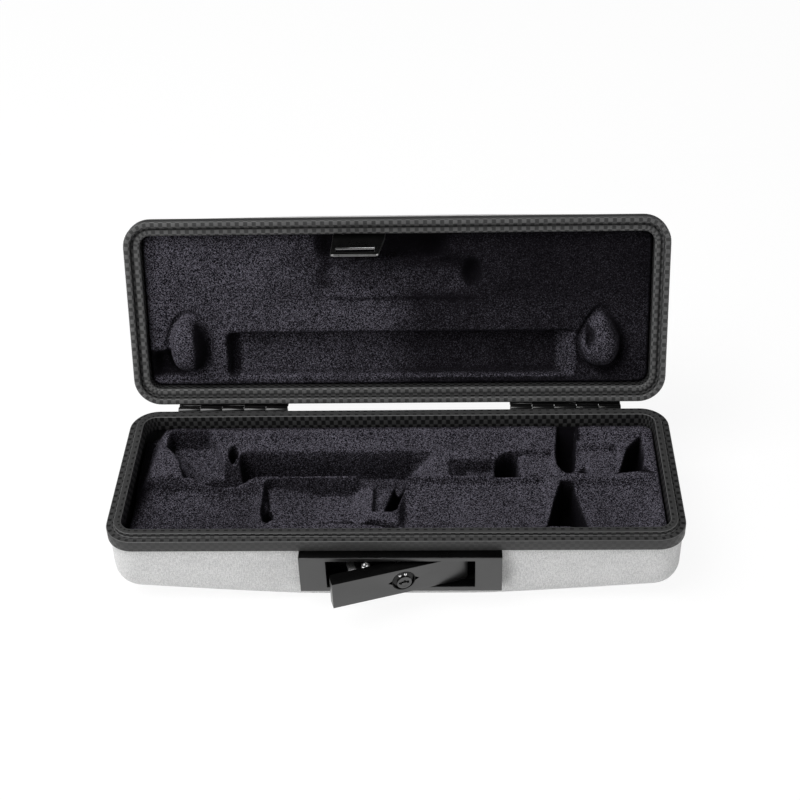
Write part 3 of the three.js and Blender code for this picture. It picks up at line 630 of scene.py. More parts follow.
def bump(tree, shader, height, strength, distance):
    inputs = {"Height": height, "Strength": strength, "Distance": distance}
    tree.links.new(node(tree, "Bump", inputs).outputs["Normal"], shader.inputs["Normal"])


def rim_finish(name, contrast, relief, gap, light, dark):
    made, tree, shader = material_of(name, Roughness=0.5, Specular_IOR_Level=0.4)
    light, dark = (getattr(colours(), colour) for colour in (light, dark))
    pairs = sizes().squares / lap(0, 0)[1]
    place = map_place(tree, "Rim")
    squares = effect(tree, squares_group, place, Pairs_per_metre=pairs, Edge=0.22, Gap=gap)
    grain = effect(tree, grain_group, object_place(tree), Grains_per_metre=2200.0)
    low = [a * (1 - contrast) + b * contrast for a, b in zip(light, dark)]
    shades = ([value * gain for value in light] for gain in (0.85, 1.15))
    speckled = blend_colours(tree, grain["Variation"], *shades)
    base = blend_colours(tree, squares["Mask"], speckled, low)
    tree.links.new(base, shader.inputs["Base Color"])
    gloss = scaled(tree, squares["Mask"], 0.14, 0.42)
    gloss = scaled(tree, grain["Variation"], 0.08, gloss)
    tree.links.new(gloss, shader.inputs["Roughness"])
    height = scaled(tree, grain["Height"], 0.25, squares["Height"])
    bump(tree, shader, height, relief, 0.00018)
    return made


def fabric_material():
    colour = colours()
    made, tree, shader = material_of(
        "woven_fabric", Roughness=0.92, Specular_IOR_Level=0.25, Sheen_Weight=0.45, Sheen_Roughness=0.5
    )
    weave = effect(tree, weave_group, map_place(tree, "Cloth"), Threads_per_metre=2300.0)
    base = blend_colours(tree, weave["Shade"], colour.fabric_dark, colour.fabric)
    tree.links.new(base, shader.inputs["Base Color"])
    tree.links.new(between(tree, weave["Shade"], 0, 1, 0.98, 0.86), shader.inputs["Roughness"])
    bump(tree, shader, weave["Height"], 0.5, 0.00012)
    return made


def velvet_material():
    colour = colours()
    made, tree, shader = material_of(
        "velvet",
        Roughness=1.0,
        Specular_IOR_Level=0.05,
        Sheen_Weight=0.025,
        Sheen_Roughness=0.45,
        Sheen_Tint=(0.32, 0.30, 0.42, 1),
    )
    pile = effect(tree, pile_group, object_place(tree), Speckles_per_metre=3000.0)
    # The attribute holds painted light and shade, which scales the pile's speckle
    light_and_shade = node(tree, "Attribute", attribute_name="Nap").outputs["Fac"]
    lit = times(tree, pile["Lit"], light_and_shade)
    base = blend_colours(tree, lit, colour.velvet_dark, colour.velvet)
    tree.links.new(base, shader.inputs["Base Color"])
    bump(tree, shader, pile["Height"], 0.6, 0.0002)
    return made


def painted_finish(
    name, colour, rough, metallic, depth=0.25, grains=3000.0, gain=1.0, worn=None
):
    made, tree, shader = material_of(name, Metallic=metallic, Specular_IOR_Level=0.5)
    place = object_place(tree)
    grain = effect(tree, grain_group, place, Grains_per_metre=grains)
    colour = [min(1.0, value * gain) for value in getattr(colours(), colour)]
    light = [min(1.0, value * 1.18) for value in colour]
    base = blend_colours(tree, grain["Variation"], colour, light)
    if worn:
        wear = effect(tree, wear_group, place, Reach=0.5)
        base = blend_colours(tree, times(tree, wear["Mask"], 0.5), base, worn)
    tree.links.new(base, shader.inputs["Base Color"])
    spread = between(tree, grain["Variation"], 0, 1, rough - 0.05, rough + 0.06)
    tree.links.new(spread, shader.inputs["Roughness"])
    bump(tree, shader, grain["Height"], depth, 0.00005)
    return made


RUBBED = (0.2, 0.2, 0.2)

# What makes each finish, and its values
FINISHES = {
    "rim": (rim_finish, "rim_moulding", 1.0, 0.7, 0.0, "rim", "rim_dark"),
    "rim top": (rim_finish, "rim_top_moulding", 0.9, 0.6, 0.3, "rim", "rim_dark"),
    # Rounded edges: few squares, and a lighter colour that paints a highlight
    "rim edge": (rim_finish, "rim_edge_moulding", 0.25, 0.2, 0.3, "rim_edge", "rim"),
    "lid band": (rim_finish, "lid_band_moulding", 0.65, 0.8, 0.1, "rim_edge", "rim_dark"),
    "rim face": (rim_finish, "rim_face_moulding", 0.12, 0.3, 0.0, "rim", "rim_dark"),
    "fabric": (fabric_material,),
    "velvet": (velvet_material,),
    "latch": (painted_finish, "latch_paint", "latch", 0.36, 0.95, 0.1),
    # Painted shade: black on latch faces that look up, round the lock and on the strike's broad faces
    "latch top": (painted_finish, "latch_top_paint", "black", 0.3, 0.9, 0.1),
    # Painted highlight: the latch colour made 3.5 times lighter, on the strike's edges
    "latch edge": (painted_finish, "latch_edge_paint", "latch", 0.3, 0.95, 0.1, 3000.0, 3.5),
    # Black metal, also used as painted shade on the hook's plate and the lock's head
    "black": (painted_finish, "black_metal", "black", 0.24, 0.6, 0.25, 3000.0, 1.0, RUBBED),
    "hinge": (painted_finish, "hinge_metal", "hinge", 0.2, 0.95, 0.08),
    "steel": (painted_finish, "steel", "steel", 0.3, 0.95, 0.15, 1800.0),
    "shell": (painted_finish, "shell_plastic", "shell", 0.6, 0.0, 0.6, 1200.0),
}
materials = {}


def material(name):
    """A finish by its name, made the first time it is asked for."""
    if name not in materials:
        build, *values = FINISHES[name]
        materials[name] = build(*values)
    return materials[name]


# Rims


LIP_WIDTH = 1.6 * MM


def rim_map(piece, shifted, inner, start, pace):
    """V is the inset on level bands, and runs with the height on walls."""
    parting = sizes().base_height

    def uv_at(co, face, run):
        if abs(face.normal.z) > 0.7:
            return run, inset_of(co) + shifted
        inset = inset_of(face.center)
        if inset > inner:
            return run, start + (co.z - parting) * pace
        return run, inset + (co.z - parting) + shifted

    lay_out(piece, "Rim", uv_at)


def face_slots(piece, top, outer, plain, level_to):
    """Slots by surface: walls, tops, the plain outer face and the rounded edges."""

    def slot_at(face):
        level, inset = abs(face.normal.z), inset_of(face.center)
        if level >= level_to:
            return 2 if plain[0] < inset < plain[1] else 1
        # Rounded edges take the painted highlight
        if level > 0.3:
            return 3
        return 2 if inset < outer else 0

    paint(piece, ("rim", top, "rim face", "rim edge"), slot_at)


def make_base_rim():
    size = sizes()
    foot = size.base_height - size.face
    flange, web, inner, channel = mm(0.6, 1.8, 5.9, 5.0)
    piece = slab("rim_base", 0, foot, size.base_height)
    moves = [(size.ledge, 0), (0, size.lip), (LIP_WIDTH, 0)]
    moves += [(size.rim - size.ledge - LIP_WIDTH, 0), (0, -size.lip - inner)]
    hollow_out(piece, faces_at(1), moves)
    moves = [(flange, 0), (0, web - size.face), (channel - flange, 0), (0, inner - web)]
    hollow_out(piece, faces_at(-1, foot), [*moves, (size.rim - channel, 0)])
    tidy(piece, 0.00002)
    soften(piece, 0.4 * MM)
    rim_map(piece, -0.32 * MM, size.rim - 0.6 * MM, 6.23 * MM, 0.74)
    smooth(piece)
    face_slots(piece, "rim top", 0.5 * MM, (size.ledge, size.ledge + LIP_WIDTH), 0.97)
    finish_piece(piece, None, "base", ["lower_rim"])


def make_lid_rim():
    size = sizes()
    parting = size.base_height
    face = parting + 0.3 * MM
    back = face + size.face
    band, groove_width, groove_depth = mm(2.9, 1.1, 3.1)
    inner_face = parting + 2.2 * MM
    inner_end = parting + 9.0 * MM
    flange, web, channel = mm(0.6, 4.6, 5.4)
    piece = slab("rim_lid", 0, face, back)
    moves = [(band, 0), (0, -groove_depth), (groove_width, 0), (0, face + groove_depth - inner_face)]
    moves += [(size.lid_rim - band - groove_width, 0), (0, inner_face - inner_end)]
    hollow_out(piece, faces_at(-1), moves)
    moves = [(flange, 0), (0, parting + web - back), (channel - flange, 0)]
    moves += [(0, inner_end - parting - web), (size.lid_rim - channel, 0)]
    hollow_out(piece, faces_at(1, back), moves)
    tidy(piece, 0.00002)
    edit(piece)

    def is_band_edge(edge):
        a, b = (inset_of(vert.co) for vert in edge.verts)
        if abs(along(edge).z) > 0.5 or abs(a - b) > MM / 20:
            return False
        z = middle(edge).z
        if abs(z - face) < MM / 50:
            return a < MM / 10 or abs(a - band) < MM / 10
        return abs(z - inner_face) < MM / 50 and a > band + groove_width - MM / 10

    bevel(piece, is_band_edge, 1.0 * MM, 5, clamp_overlap=True)
    let_go()
    soften(piece, 0.25 * MM, 2, 40)
    rim_map(piece, -0.5 * MM, size.lid_rim - 0.6 * MM, 6.0 * MM, 1.0)
    smooth(piece)
    face_slots(piece, "lid band", 0.4 * MM, (0, 0), 0.7)
    open_lid(piece)
    finish_piece(piece, None, "lid", ["lid_rim"])


# Woven covers


def rise_at(x, rise):
    size = sizes()
    beyond = max(abs(x) - size.flat, 0) / (rim_high.x - size.flat)
    return rise * beyond**1.2


# How far from the parting plane each cover starts, by its side
COVER_TOPS = {-1: 2.1 * MM, 1: 4.9 * MM}


def cover_wall(side, z):
    """How far out a cover's long wall stands at a height."""
    size = sizes()
    draft = size.base_draft if side < 0 else size.lid_draft
    depth = side * (z - size.base_height) - COVER_TOPS[side]
    return rim_high.y - size.cover_inset - depth * draft


def make_cover(name, side, height, edge, draft, rise, window=None):
    """A cover on one side of the parting plane: -1 is the base and 1 the lid."""
    size = sizes()
    parting, edge_depth = size.base_height, COVER_TOPS[side]
    top = parting + side * edge_depth
    start = parting + side * (height - edge)
    floor = parting + side * height
    thin = 0.05 * MM
    piece = slab(name, size.cover_inset, *sorted((top, top + side * thin)))
    drop = abs(start - top) - thin
    moves = [(drop * draft, drop)]
    parts = 8
    for part in range(parts):
        here, there = (RIGHT_ANGLE * step / parts for step in (part, part + 1))
        inward, down = math.cos(here) - math.cos(there), math.sin(there) - math.sin(here)
        moves.append((edge * inward, edge * down))
    walk(piece, faces_at(side), moves)
    pick(piece, "faces", faces_at(-side))
    bpy.ops.mesh.delete(type="FACE")
    stations = [x * 8 * MM for x in range(-13, 14)]
    cut(piece, 0, stations)
    mesh = bmesh.from_edit_mesh(piece.data)
    places = sorted({round(v.co.x, 5) for v in mesh.verts if abs(v.co.z - floor) < NEAR})
    extra = [x for x in places if abs(x) > stations[-1] and abs(x) < max(places) - 0.00003]
    cut(piece, 0, extra, faces_at(side, floor))
    if window:

        def is_front(face):
            return face.normal.y < -0.9

        cut(piece, 0, window[0], is_front)
        cut(piece, 2, window[1], is_front)
        pick(piece, "faces", lambda face: is_front(face) and in_window(face, *window))
        bpy.ops.mesh.delete(type="FACE")
    bpy.ops.mesh.select_all(action="SELECT")
    bpy.ops.mesh.remove_doubles(threshold=0.000005)
    let_go()
    straight = height - edge

    def uv_at(co, face, run):
        """The floor is laid out flat, and V runs down the walls and round the edge."""
        if abs(face.normal.z) > 0.97:
            return co.x, co.y
        depth = side * (co.z - parting)
        if depth <= straight:
            return run, -depth
        return run, -straight - edge * math.asin(min(1.0, (depth - straight) / edge))

    lay_out(piece, "Cloth", uv_at)
    for vertex in piece.data.vertices:
        depth = side * (vertex.co.z - parting)
        share = min(1.0, max(0.0, (depth - edge_depth) / (straight - edge_depth)))
        vertex.co.z -= side * rise_at(vertex.co.x, rise) * share
    use_modifier(piece, "SOLIDIFY", thickness=size.cover, offset=-1)
    smooth(piece, 60)
    return piece


def make_base_cover():
    size = sizes()
    shape = (size.base_height, size.base_edge, size.base_draft, size.base_rise)
    piece = make_cover("cover_base", -1, *shape, (mm(-29.9, 34.9), mm(12.0, 30.0)))
    finish_piece(piece, material("fabric"), "base", ["lower_cover"])


def make_lid_cover():
    size = sizes()
    shape = (size.lid_height, size.lid_edge, size.lid_draft, size.lid_rise)
    piece = make_cover("cover_lid", 1, *shape)
    open_lid(piece)
    finish_piece(piece, material("fabric"), "lid", ["lid_cover"])


# Velvet pads: a grid pressed into shape by what each place asks for


def ease(value):
    value = min(1.0, max(0.0, value))
    return value * value * (3 - 2 * value)


def box_reach(x, y, x_span, y_span, corner):
    """How far a point is inside a rounded rectangle, below zero outside it."""
    half_x, half_y = (x_span[1] - x_span[0]) / 2, (y_span[1] - y_span[0]) / 2
    corner = min(corner, half_x, half_y)
    over_x = abs(x - (x_span[0] + x_span[1]) / 2) - (half_x - corner)
    over_y = abs(y - (y_span[0] + y_span[1]) / 2) - (half_y - corner)
    return corner - math.hypot(max(over_x, 0), max(over_y, 0)) - min(max(over_x, over_y), 0)


def hollow(x, y, x_span, y_span, depth, corner=3.0, wall=1.6):
    """A pocket with a level floor and softly sloped walls, in millimetres."""
    if not (x_span[0] < x < x_span[1] and y_span[0] < y < y_span[1]):
        return 0.0
    return depth * ease(box_reach(x, y, x_span, y_span, corner) / wall)


def trough(x, y, x_span, middle_y, radius, depth, wall=3.0, corner=4.0):
    """A round-bottomed cradle along X."""
    y_span = (middle_y - radius, middle_y + radius)
    side = abs(y - middle_y) / radius
    if side >= 1 or not x_span[0] < x < x_span[1]:
        return 0.0
    ends = ease(box_reach(x, y, x_span, y_span, corner) / wall)
    return depth * (1 - side * side) ** 0.4 * ends


def bowl(x, y, centre, half_x, half_y, depth, power=0.5):
    """A round hollow, in millimetres; a low power gives it a flat floor."""
    reach = ((x - centre[0]) / half_x) ** 2 + ((y - centre[1]) / half_y) ** 2
    return depth * (1 - reach) ** power if reach < 1 else 0.0


def patch(x, y, points, depth, wall=1.4, grow=0.0):
    """A pocket inside a ring of points, in millimetres, whose edge may lie outside the ring."""
    inside, near = False, math.inf
    from_x, from_y = points[-1]
    for to_x, to_y in points:
        run_x, run_y = to_x - from_x, to_y - from_y
        if (from_y > y) != (to_y > y) and x < run_x * (y - from_y) / run_y + from_x:
            inside = not inside
        share = ((x - from_x) * run_x + (y - from_y) * run_y) / (run_x**2 + run_y**2)
        share = min(1.0, max(0.0, share))
        near = min(near, math.hypot(x - from_x - share * run_x, y - from_y - share * run_y))
        from_x, from_y = to_x, to_y
    reach = near if inside else -near
    return depth * ease((reach + grow) / wall)


# Rings of the tray's odd-shaped pockets
SCOOP = (
    (-102.3, 33.5), (-85, 33.5), (-81.5, 29.4), (-77, 18), (-75, 10),
    (-72, 6), (-80, 3.5), (-93, 3.6), (-96.8, 15.7), (-103, 23.6),
)
CREASE = ((-55.0, -13), (-53.2, -13), (-55.2, -1.8), (-56.8, -1.8))
LEANING_SLIT = ((-6.2, -18.6), (0.5, -17.5), (4.6, 2.5), (-0.5, 3.0))
FOLD = (
    (-50, -27.6), (-24, -25.0), (-16, -23.4), (-7, -24.0), (2.2, -27.4),
    (2.2, -30.2), (-7, -27.4), (-16, -25.8), (-24, -26.0), (-50, -28.2),
)
OPENING = ((71.0, 0.4), (76.2, 0.4), (81.4, -28), (62.8, -28))
STEEP = (
    (42.2, 3.4), (55.2, 3.4), (53.4, 11), (53.2, 18.8),
    (50.4, 20), (47.0, 18.6), (43.8, 15.2), (42.2, 13),
)
LONG_SLIT = (
    (71.2, 35.6), (79.4, 35.6), (78.4, 17), (77.2, 9.5), (73.4, 6.6), (70.0, 10.5), (69.4, 17),
)
THREE_CORNERED = (
    (107.8, 29.6), (108.6, 19), (107.0, 9.6), (112.4, 4.6),
    (104.5, 6.6), (95.2, 5.0), (98.0, 12), (101.2, 21.6),
)
LEFT_SLOPE = ((-116, 40), (-116, -40), (-112, -40), (-107.5, 0), (-103.5, 40))
TIE = 2.4  # How firmly the deepest of several hollows wins where they meet

# Ring, depth and width of the wall
TRAY_PATCHES = (
    (SCOOP, 10.0, 1.2),
    (CREASE, 8.0, 0.9),
    (LEANING_SLIT, 13.0, 1.2),
    (FOLD, 6.0, 1.2),
    (OPENING, 20.0, 1.2),
    (STEEP, 15.0, 1.3),
    (LONG_SLIT, 17.0, 1.3),
    (THREE_CORNERED, 15.0, 1.3),
    (LEFT_SLOPE, 6.0, 6.0),
)
# Ring, softness of the shade's edge and how far it lies outside the ring
TRAY_SHADES = (
    (CREASE, 0.8, 0.0),
    (LEANING_SLIT, 1.0, 0.4),
    (FOLD, 1.2, 0.2),
    (OPENING, 1.0, 0.8),
    (STEEP, 1.4, 0.5),
    (LONG_SLIT, 1.0, 0.8),
    (THREE_CORNERED, 1.2, 0.7),
)


def tray_depth(x, y):
    """How deep the tray is pressed at a place, in millimetres."""
    cuts = [
        # The front row, from left to right
        trough(x, y, (-120.0, -56.6), -13.6, 17.0, 5.6, 6.0, 9.0),
        bowl(x, y, (-54.1, -19.0), 2.1, 6.2, 15.0, 0.4),
        min(
            hollow(x, y, (-57.2, -8.8), (-23.8, 3.0), 10.0, 5.0, 1.3),
            max(0.0, (-8.8 - x) * 0.9),
            max(0.0, 4.0 + (x + 57.2) * 0.25),
        ),
        hollow(x, y, (-11.0, 0.4), (-19.0, 3.2), 4.2, 3.0, 2.4),
        trough(x, y, (0.8, 66.5), -13.0, 17.2, 4.2, 3.4, 5.0),
        trough(x, y, (72.0, 111.0), -14.0, 17.0, 3.8, 4.0, 5.0),
        # The back row, from left to right
        bowl(x, y, (-72.6, 19.6), 1.9, 4.9, 18.0, 0.4),
        bowl(x, y, (-76.0, 7.6), 13.2, 7.0, 16.0, 0.4),
        min(hollow(x, y, (-69.8, 16.5), (4.0, 20.2), 15.0, 3.0, 1.7), max(0.0, (16.5 - x) * 1.2)),
        bowl(x, y, (-6.0, 7.0), 12.2, 7.2, 16.0, 0.4),
        min(
            hollow(x, y, (22.5, 43.4), (3.9, 15.0), 6.4, 2.5, 1.8),
            max(0.0, 0.8 + (x - 22.5) * 0.7),
        ),
        hollow(x, y, (52.0, 69.4), (4.4, 20.6), 2.4, 2.0, 1.6),
        bowl(x, y, (81.4, 8.2), 2.2, 2.8, 8.0, 0.5),
        hollow(x, y, (70.0, 99.0), (4.6, 25.0), 2.8, 5.0, 3.4),
        # The ridge between the rows dips beside both pits
        bowl(x, y, (-75.0, 3.4), 14.0, 6.6, 3.8, 0.8),
        bowl(x, y, (-6.6, 3.4), 10.5, 6.4, 4.2, 0.8),
    ]
    cuts += [patch(x, y, *shape) for shape in TRAY_PATCHES]
    deepest = max(cuts)
    # Neighbouring hollows run into each other softly
    total = sum(math.exp((value - deepest) * TIE) for value in cuts if value > 0.01)
    blend = deepest + (math.log(total) / TIE if total > 1 else 0.0)
    swell = 1.8 * bowl(x, y, (-100.0, 12.0), 9.0, 15.0, 1.0, 0.8)
    swell += 1.2 * ease((y - 26) / 6) * ease((x + 108) / 8)
    return blend - swell


def tray_light_and_shade(x, y, depth):
    """How light the tray's pile looks: deep and narrow places are dark, and so is the left wall."""
    # Painted shade that darkens the deepest places
    level = 1.85 - 0.9 * ease((depth - 9) / 7)
    # Darker over the front left cradle
    level *= 1 - 0.4 * ease((-55 - x) / 3) * ease((5 - y) / 3)
    # Painted shadow of the back rim along the tray's back edge
    level *= 1 - 0.65 * ease((y - 33.2) / 1.6)
    # Painted shade in the pits, slits and holes
    shaded = [
        bowl(x, y, (-54.1, -19.0), 2.4, 6.6, 1.0, 0.3),
        bowl(x, y, (-72.6, 19.6), 2.1, 5.2, 1.0, 0.3),
        0.85 * bowl(x, y, (-74.0, 7.6), 12.5, 4.4, 1.0, 0.5),
        hollow(x, y, (70.6, 81.2), (26.0, 40.0), 1.0, 0.5, 0.8),
        bowl(x, y, (81.4, 8.2), 2.3, 2.9, 1.0, 0.3),
        0.6 * bowl(x, y, (95.5, 23.5), 3.2, 2.0, 1.0, 0.6),
        0.4 * hollow(x, y, (24.5, 43.4), (3.9, 15.0), 1.0, 2.5, 1.8),
    ]
    shaded += [patch(x, y, points, 1.0, soft, grow) for points, soft, grow in TRAY_SHADES]
    level *= 1 - 0.97 * max(shaded)
    # Painted shadow of the left rim along the tray's left edge
    wall = -105.4 + (0.22 if y < 0 else -0.08) * y
    return level * (0.06 + 0.94 * ease((x - wall + 5.5) / 7))


def pad_depth(x, y):
    """How deep the lid's pad is pressed at a place, in millimetres; lobes stand out of it."""
    cuts = [
        min(hollow(x, y, (-77.5, 80.5), (10.6, 31.2), 6.0, 2.6, 1.4), max(0.0, (80.5 - x) * 0.72)),
        hollow(x, y, (-36.0, 36.0), (-26.0, -5.4), 2.8, 9.0, 6.0),
        hollow(x, y, (-37.0, 23.0), (-40.0, -20.0), 6.0, 8.0, 6.0),
        bowl(x, y, (33.2, -16.5), 5.2, 6.8, 5.0, 0.7),
        hollow(x, y, (-111.5, -97.0), (18.0, 32.0), 4.0, 4.0, 4.0),
    ]
    depth = max(cuts)
    for centre_x, centre_y, half_x, half_y, lift, point in (
        (-94.6, 15.8, 8.3, 12.2, 9.6, 0.2),
        (90.8, 14.4, 8.6, 12.4, 9.0, 0.5),
    ):
        across = (y - centre_y) / half_y
        taper = 1.0 - point * max(0.0, -across)
        reach = (abs((x - centre_x) / (half_x * taper)) ** 2.5 + abs(across) ** 2.5) ** 0.4
        if reach < 1.0:
            depth = min(depth, 0.0) - lift * (1 - reach**3.2) ** 0.5
        elif reach < 1.3:
            depth += 1.6 * math.sin((reach - 1.0) / 0.3 * math.pi)
    depth += bowl(x, y, (86.0, 12.4), 2.4, 5.4, 6.0, 0.6)
    return depth


def pad_light_and_shade(x, y, depth):
    """How light the lid pad's pile looks: it lies away from the light towards the right."""
    # Painted darker towards the right, and over the upper middle
    level = 1.35 * (1.0 - 0.76 * ease((x + 14) / 28))
    level *= 1.0 - 0.5 * ease((x + 62) / 24) * ease((2 - y) / 12)
    # Painted shade in the long recess
    in_recess = hollow(x, y, (-78.0, 80.5), (10.0, 31.0), 1.0, 2.0, 1.5)
    level *= 1 - 0.25 * in_recess
    strip = hollow(x, y, (70.5, 80.5), (10.8, 33.0), 1.0, 1.5, 1.6)
    island = 0.5 * hollow(x, y, (-29.0, 32.0), (-19.5, -6.5), 1.0, 5.0, 4.0)
    raised = ease((-depth - 0.8) / 2.0)
    line = hollow(x, y, (-71.0, 74.0), (31.0, 32.5), 1.0, 0.3, 0.4)
    # Painted light: the recess's lit right end, a lighter island, the raised lobes, and a highlight
    # line along the recess's lower lip
    for share, wanted in ((strip, 0.95), (island, 0.8), (raised, 1.35), (line, 0.9)):
        level += (wanted - level) * share
    # Painted shade round the strike, in the hollows, on the recess's walls and below it, and round the
    # right lobe
    shaded = max(
        0.92 * hollow(x, y, (-38.0, 27.0), (-42.0, -19.0), 1.0, 8.0, 7.0),
        0.95 * bowl(x, y, (33.2, -16.5), 5.4, 7.0, 1.0, 0.4),
        0.6 * hollow(x, y, (-31.0, 36.0), (-6.8, -3.4), 1.0, 1.5, 1.4),
        0.85 * hollow(x, y, (-78.2, -71.0), (10.6, 33.0), 1.0, 1.5, 2.0),
        0.42 * hollow(x, y, (-77.0, 76.0), (32.3, 39.4), 1.0, 0.6, 0.5),
        0.96 * hollow(x, y, (-120.0, -95.0), (16.5, 32.5), 1.0, 4.0, 2.6),
        0.6 * hollow(x, y, (-76.0, 74.0), (28.8, 31.4), 1.0, 0.3, 0.7),
        0.9 * bowl(x, y, (94.0, 19.0), 10.4, 13.5, 1.0, 0.3),
    )
    level *= 1 - shaded * (1 - raised)
    # The lobes' far sides and the right lobe's own slit lie in shadow
    level *= 1 - 0.95 * raised * ease((x + 92.4) / 1.8) * ease((-80 - x) / 2)
    return level * (1 - 0.93 * bowl(x, y, (86.0, 12.4), 2.3, 5.3, 1.0, 0.4))


def paint_light_and_shade(piece, rows, side, light_and_shade_at, surface):
    """Store how light the pile looks: darker where it turns away from the light, or lies deep."""
    points = [vertex.co.copy() for vertex in piece.data.vertices]
    light_and_shade = piece.data.attributes.new("Nap", "FLOAT", "POINT")
    last_row, last_column = len(rows) - 1, len(rows[0]) - 1
    for row, line in enumerate(rows):
        above, below = rows[min(row + 1, last_row)], rows[max(row - 1, 0)]
        for column, here in enumerate(line):
            along_x = points[line[min(column + 1, last_column)]] - points[line[max(column - 1, 0)]]
            along_y = points[above[column]] - points[below[column]]
            facing = along_x.cross(along_y).normalized()
            x, y, z = points[here]
            level = light_and_shade_at(x / MM, y / MM, side * (surface - z) / MM)
            # Painted shade on faces that turn away from the light, painted light on faces that turn
            # towards it
            level *= 1 - 0.7 * max(0.0, -facing.y) + 0.35 * max(0.0, facing.y) * (side < 0)
            level *= 1 - 0.85 * max(0.0, facing.x * side) + 0.4 * max(0.0, -facing.x * side)
            cloud = noise.noise(Vector((x * 34, y * 34, surface * 900)))
            light_and_shade.data[here].value = max(0.0, level * (1 + 0.22 * cloud))


def pressed_pad(name, inset, corner, depth_at, light_and_shade_at, surface, side, edge, foot, seed, cell):
    """A padded sheet on one side: its face is pressed by depth_at and its skirt runs to foot."""
    half_x, half_y = rim_high.x - inset, rim_high.y - inset
    cells_x, cells_y = round(2 * half_x / cell), round(2 * half_y / cell)
    let_go()
    bpy.ops.mesh.primitive_grid_add(
        x_subdivisions=cells_x, y_subdivisions=cells_y, size=2, location=(0, 0, 0)
    )
    piece = keep(name)
    count_x, count_y = cells_x + 1, cells_y + 1
    heights, places = [], []
    for vertex in piece.data.vertices:
        x, y = vertex.co.x * half_x, vertex.co.y * half_y
        over_x, over_y = abs(x) - (half_x - corner), abs(y) - (half_y - corner)
        if over_x > 0 and over_y > 0:
            u, v = over_x / corner, over_y / corner
            x = math.copysign(half_x - corner + corner * u * math.sqrt(1 - v * v / 2), x)
            y = math.copysign(half_y - corner + corner * v * math.sqrt(1 - u * u / 2), y)
        places.append((x, y))
        heights.append(depth_at(x / MM, y / MM) * MM)
    corners = [vertex.co.copy() for vertex in piece.data.vertices]
    order = sorted(range(len(places)), key=lambda i: (round(corners[i].y, 4), corners[i].x))
    rows = [order[row * count_x : (row + 1) * count_x] for row in range(count_y)]
    rounds = max(1, round((sizes().softness / cell) ** 2))
    for _ in range(rounds):
        fresh = list(heights)
        for row in range(1, count_y - 1):
            for column in range(1, count_x - 1):
                here = rows[row][column]
                near = (
                    heights[rows[row - 1][column]]
                    + heights[rows[row + 1][column]]
                    + heights[rows[row][column - 1]]
                    + heights[rows[row][column + 1]]
                )
                fresh[here] = 0.4 * heights[here] + 0.15 * near
        heights = fresh
    for vertex, (x, y), depth in zip(piece.data.vertices, places, heights):
        inside = inset_of_box(x, y, half_x, half_y, corner)
        if inside < edge:
            depth += edge - math.sqrt(max(0.0, edge * edge - (edge - inside) ** 2))
        ripple = noise.noise(Vector((x * 75, y * 75, seed))) * 0.28 * MM
        ripple += noise.noise(Vector((x * 260, y * 260, seed + 5))) * 0.1 * MM
        vertex.co = (x, y, surface - side * (depth + ripple * min(1.0, inside / edge)))
    paint_light_and_shade(piece, rows, side, light_and_shade_at, surface)
    edit(piece)
    pick(piece, "edges", lambda item: item.is_boundary)
    bpy.ops.mesh.extrude_edges_move(TRANSFORM_OT_translate={"value": (0, 0, -side * 1.2 * MM)})
    bpy.ops.mesh.extrude_edges_move(TRANSFORM_OT_translate={"value": (0, 0, 0)})
    bpy.ops.transform.resize(
        value=(1 - 2.6 * MM / half_x, 1 - 2.6 * MM / half_y, 1), center_override=(0, 0, 0)
    )
    bpy.ops.mesh.extrude_edges_move(TRANSFORM_OT_translate={"value": (0, 0, 0)})
    mesh = bmesh.from_edit_mesh(piece.data)
    for vertex in mesh.verts:
        if vertex.select:
            vertex.co.z = foot(vertex.co.x)
    bmesh.update_edit_mesh(piece.data)
    bpy.ops.mesh.fill(use_beauty=True)
    tidy(piece)
    active(piece)
    bpy.ops.object.shade_smooth()
    return piece


def make_tray():
    size = sizes()
    inset, corner, surface, edge, floor = mm(6.8, 5.4, 30.7, 0.8, 4.6)

    def foot(x):
        return floor + rise_at(x, size.base_rise)

    shape = (inset, corner, tray_depth, tray_light_and_shade, surface, 1, edge, foot, 3.0, size.tray_cell)
    piece = pressed_pad("tray", *shape)
    carve(piece, block("slot_cutter", mm(-28.4, -3.6), mm(-40, -29.6), mm(17.7, 40)))
    finish_piece(piece, material("velvet"), "base", ["lower_liner"])


def make_pad():
    size = sizes()
    inset, corner, surface, edge, floor = mm(7.3, 5.0, 42.7, 1.2, 53.4)

    def foot(x):
        return floor - rise_at(x, size.lid_rise)

    shape = (inset, corner, pad_depth, pad_light_and_shade, surface, -1, edge, foot, 8.0, size.pad_cell)
    piece = pressed_pad("pad", *shape)
    carve(piece, block("notch_cutter", mm(-28.4, -3.6), mm(-40, -31.5), mm(35, 45.4)))
    open_lid(piece)
    finish_piece(piece, material("velvet"), "lid", ["lid_liner"])


# Hinges


def leaf_strip(name, ends, side):
    """A cranked leaf: a plate bent round the rim to the cover."""
    rim_back = rim_high.y + 0.3 * MM
    rim_end = sizes().base_height + side * (sizes().face + 0.3 * MM)
    crank = rim_end + side * 1.2 * MM
    end = hinge_place.z + side * (12.5 if side < 0 else 14.0) * MM
    span = sorted((hinge_place.z + min(side, 0) * 0.9 * MM, end))
    piece = block(name, ends, (rim_back, rim_back + 0.9 * MM), span)
    edit(piece)
    cut(piece, 2, (rim_end, crank))

    def follow_cover(co):
        if side * (co.z - crank) > -NEAR:
            co.y += cover_wall(side, co.z) + 0.3 * MM - rim_back

    def is_end_corner(edge):
        return abs(along(edge).y) > 0.9 and abs(middle(edge).z - end) < MM / 10

    shift(piece, follow_cover)
    bevel(piece, is_end_corner, 1.6 * MM, 4)
    let_go()
    return piece


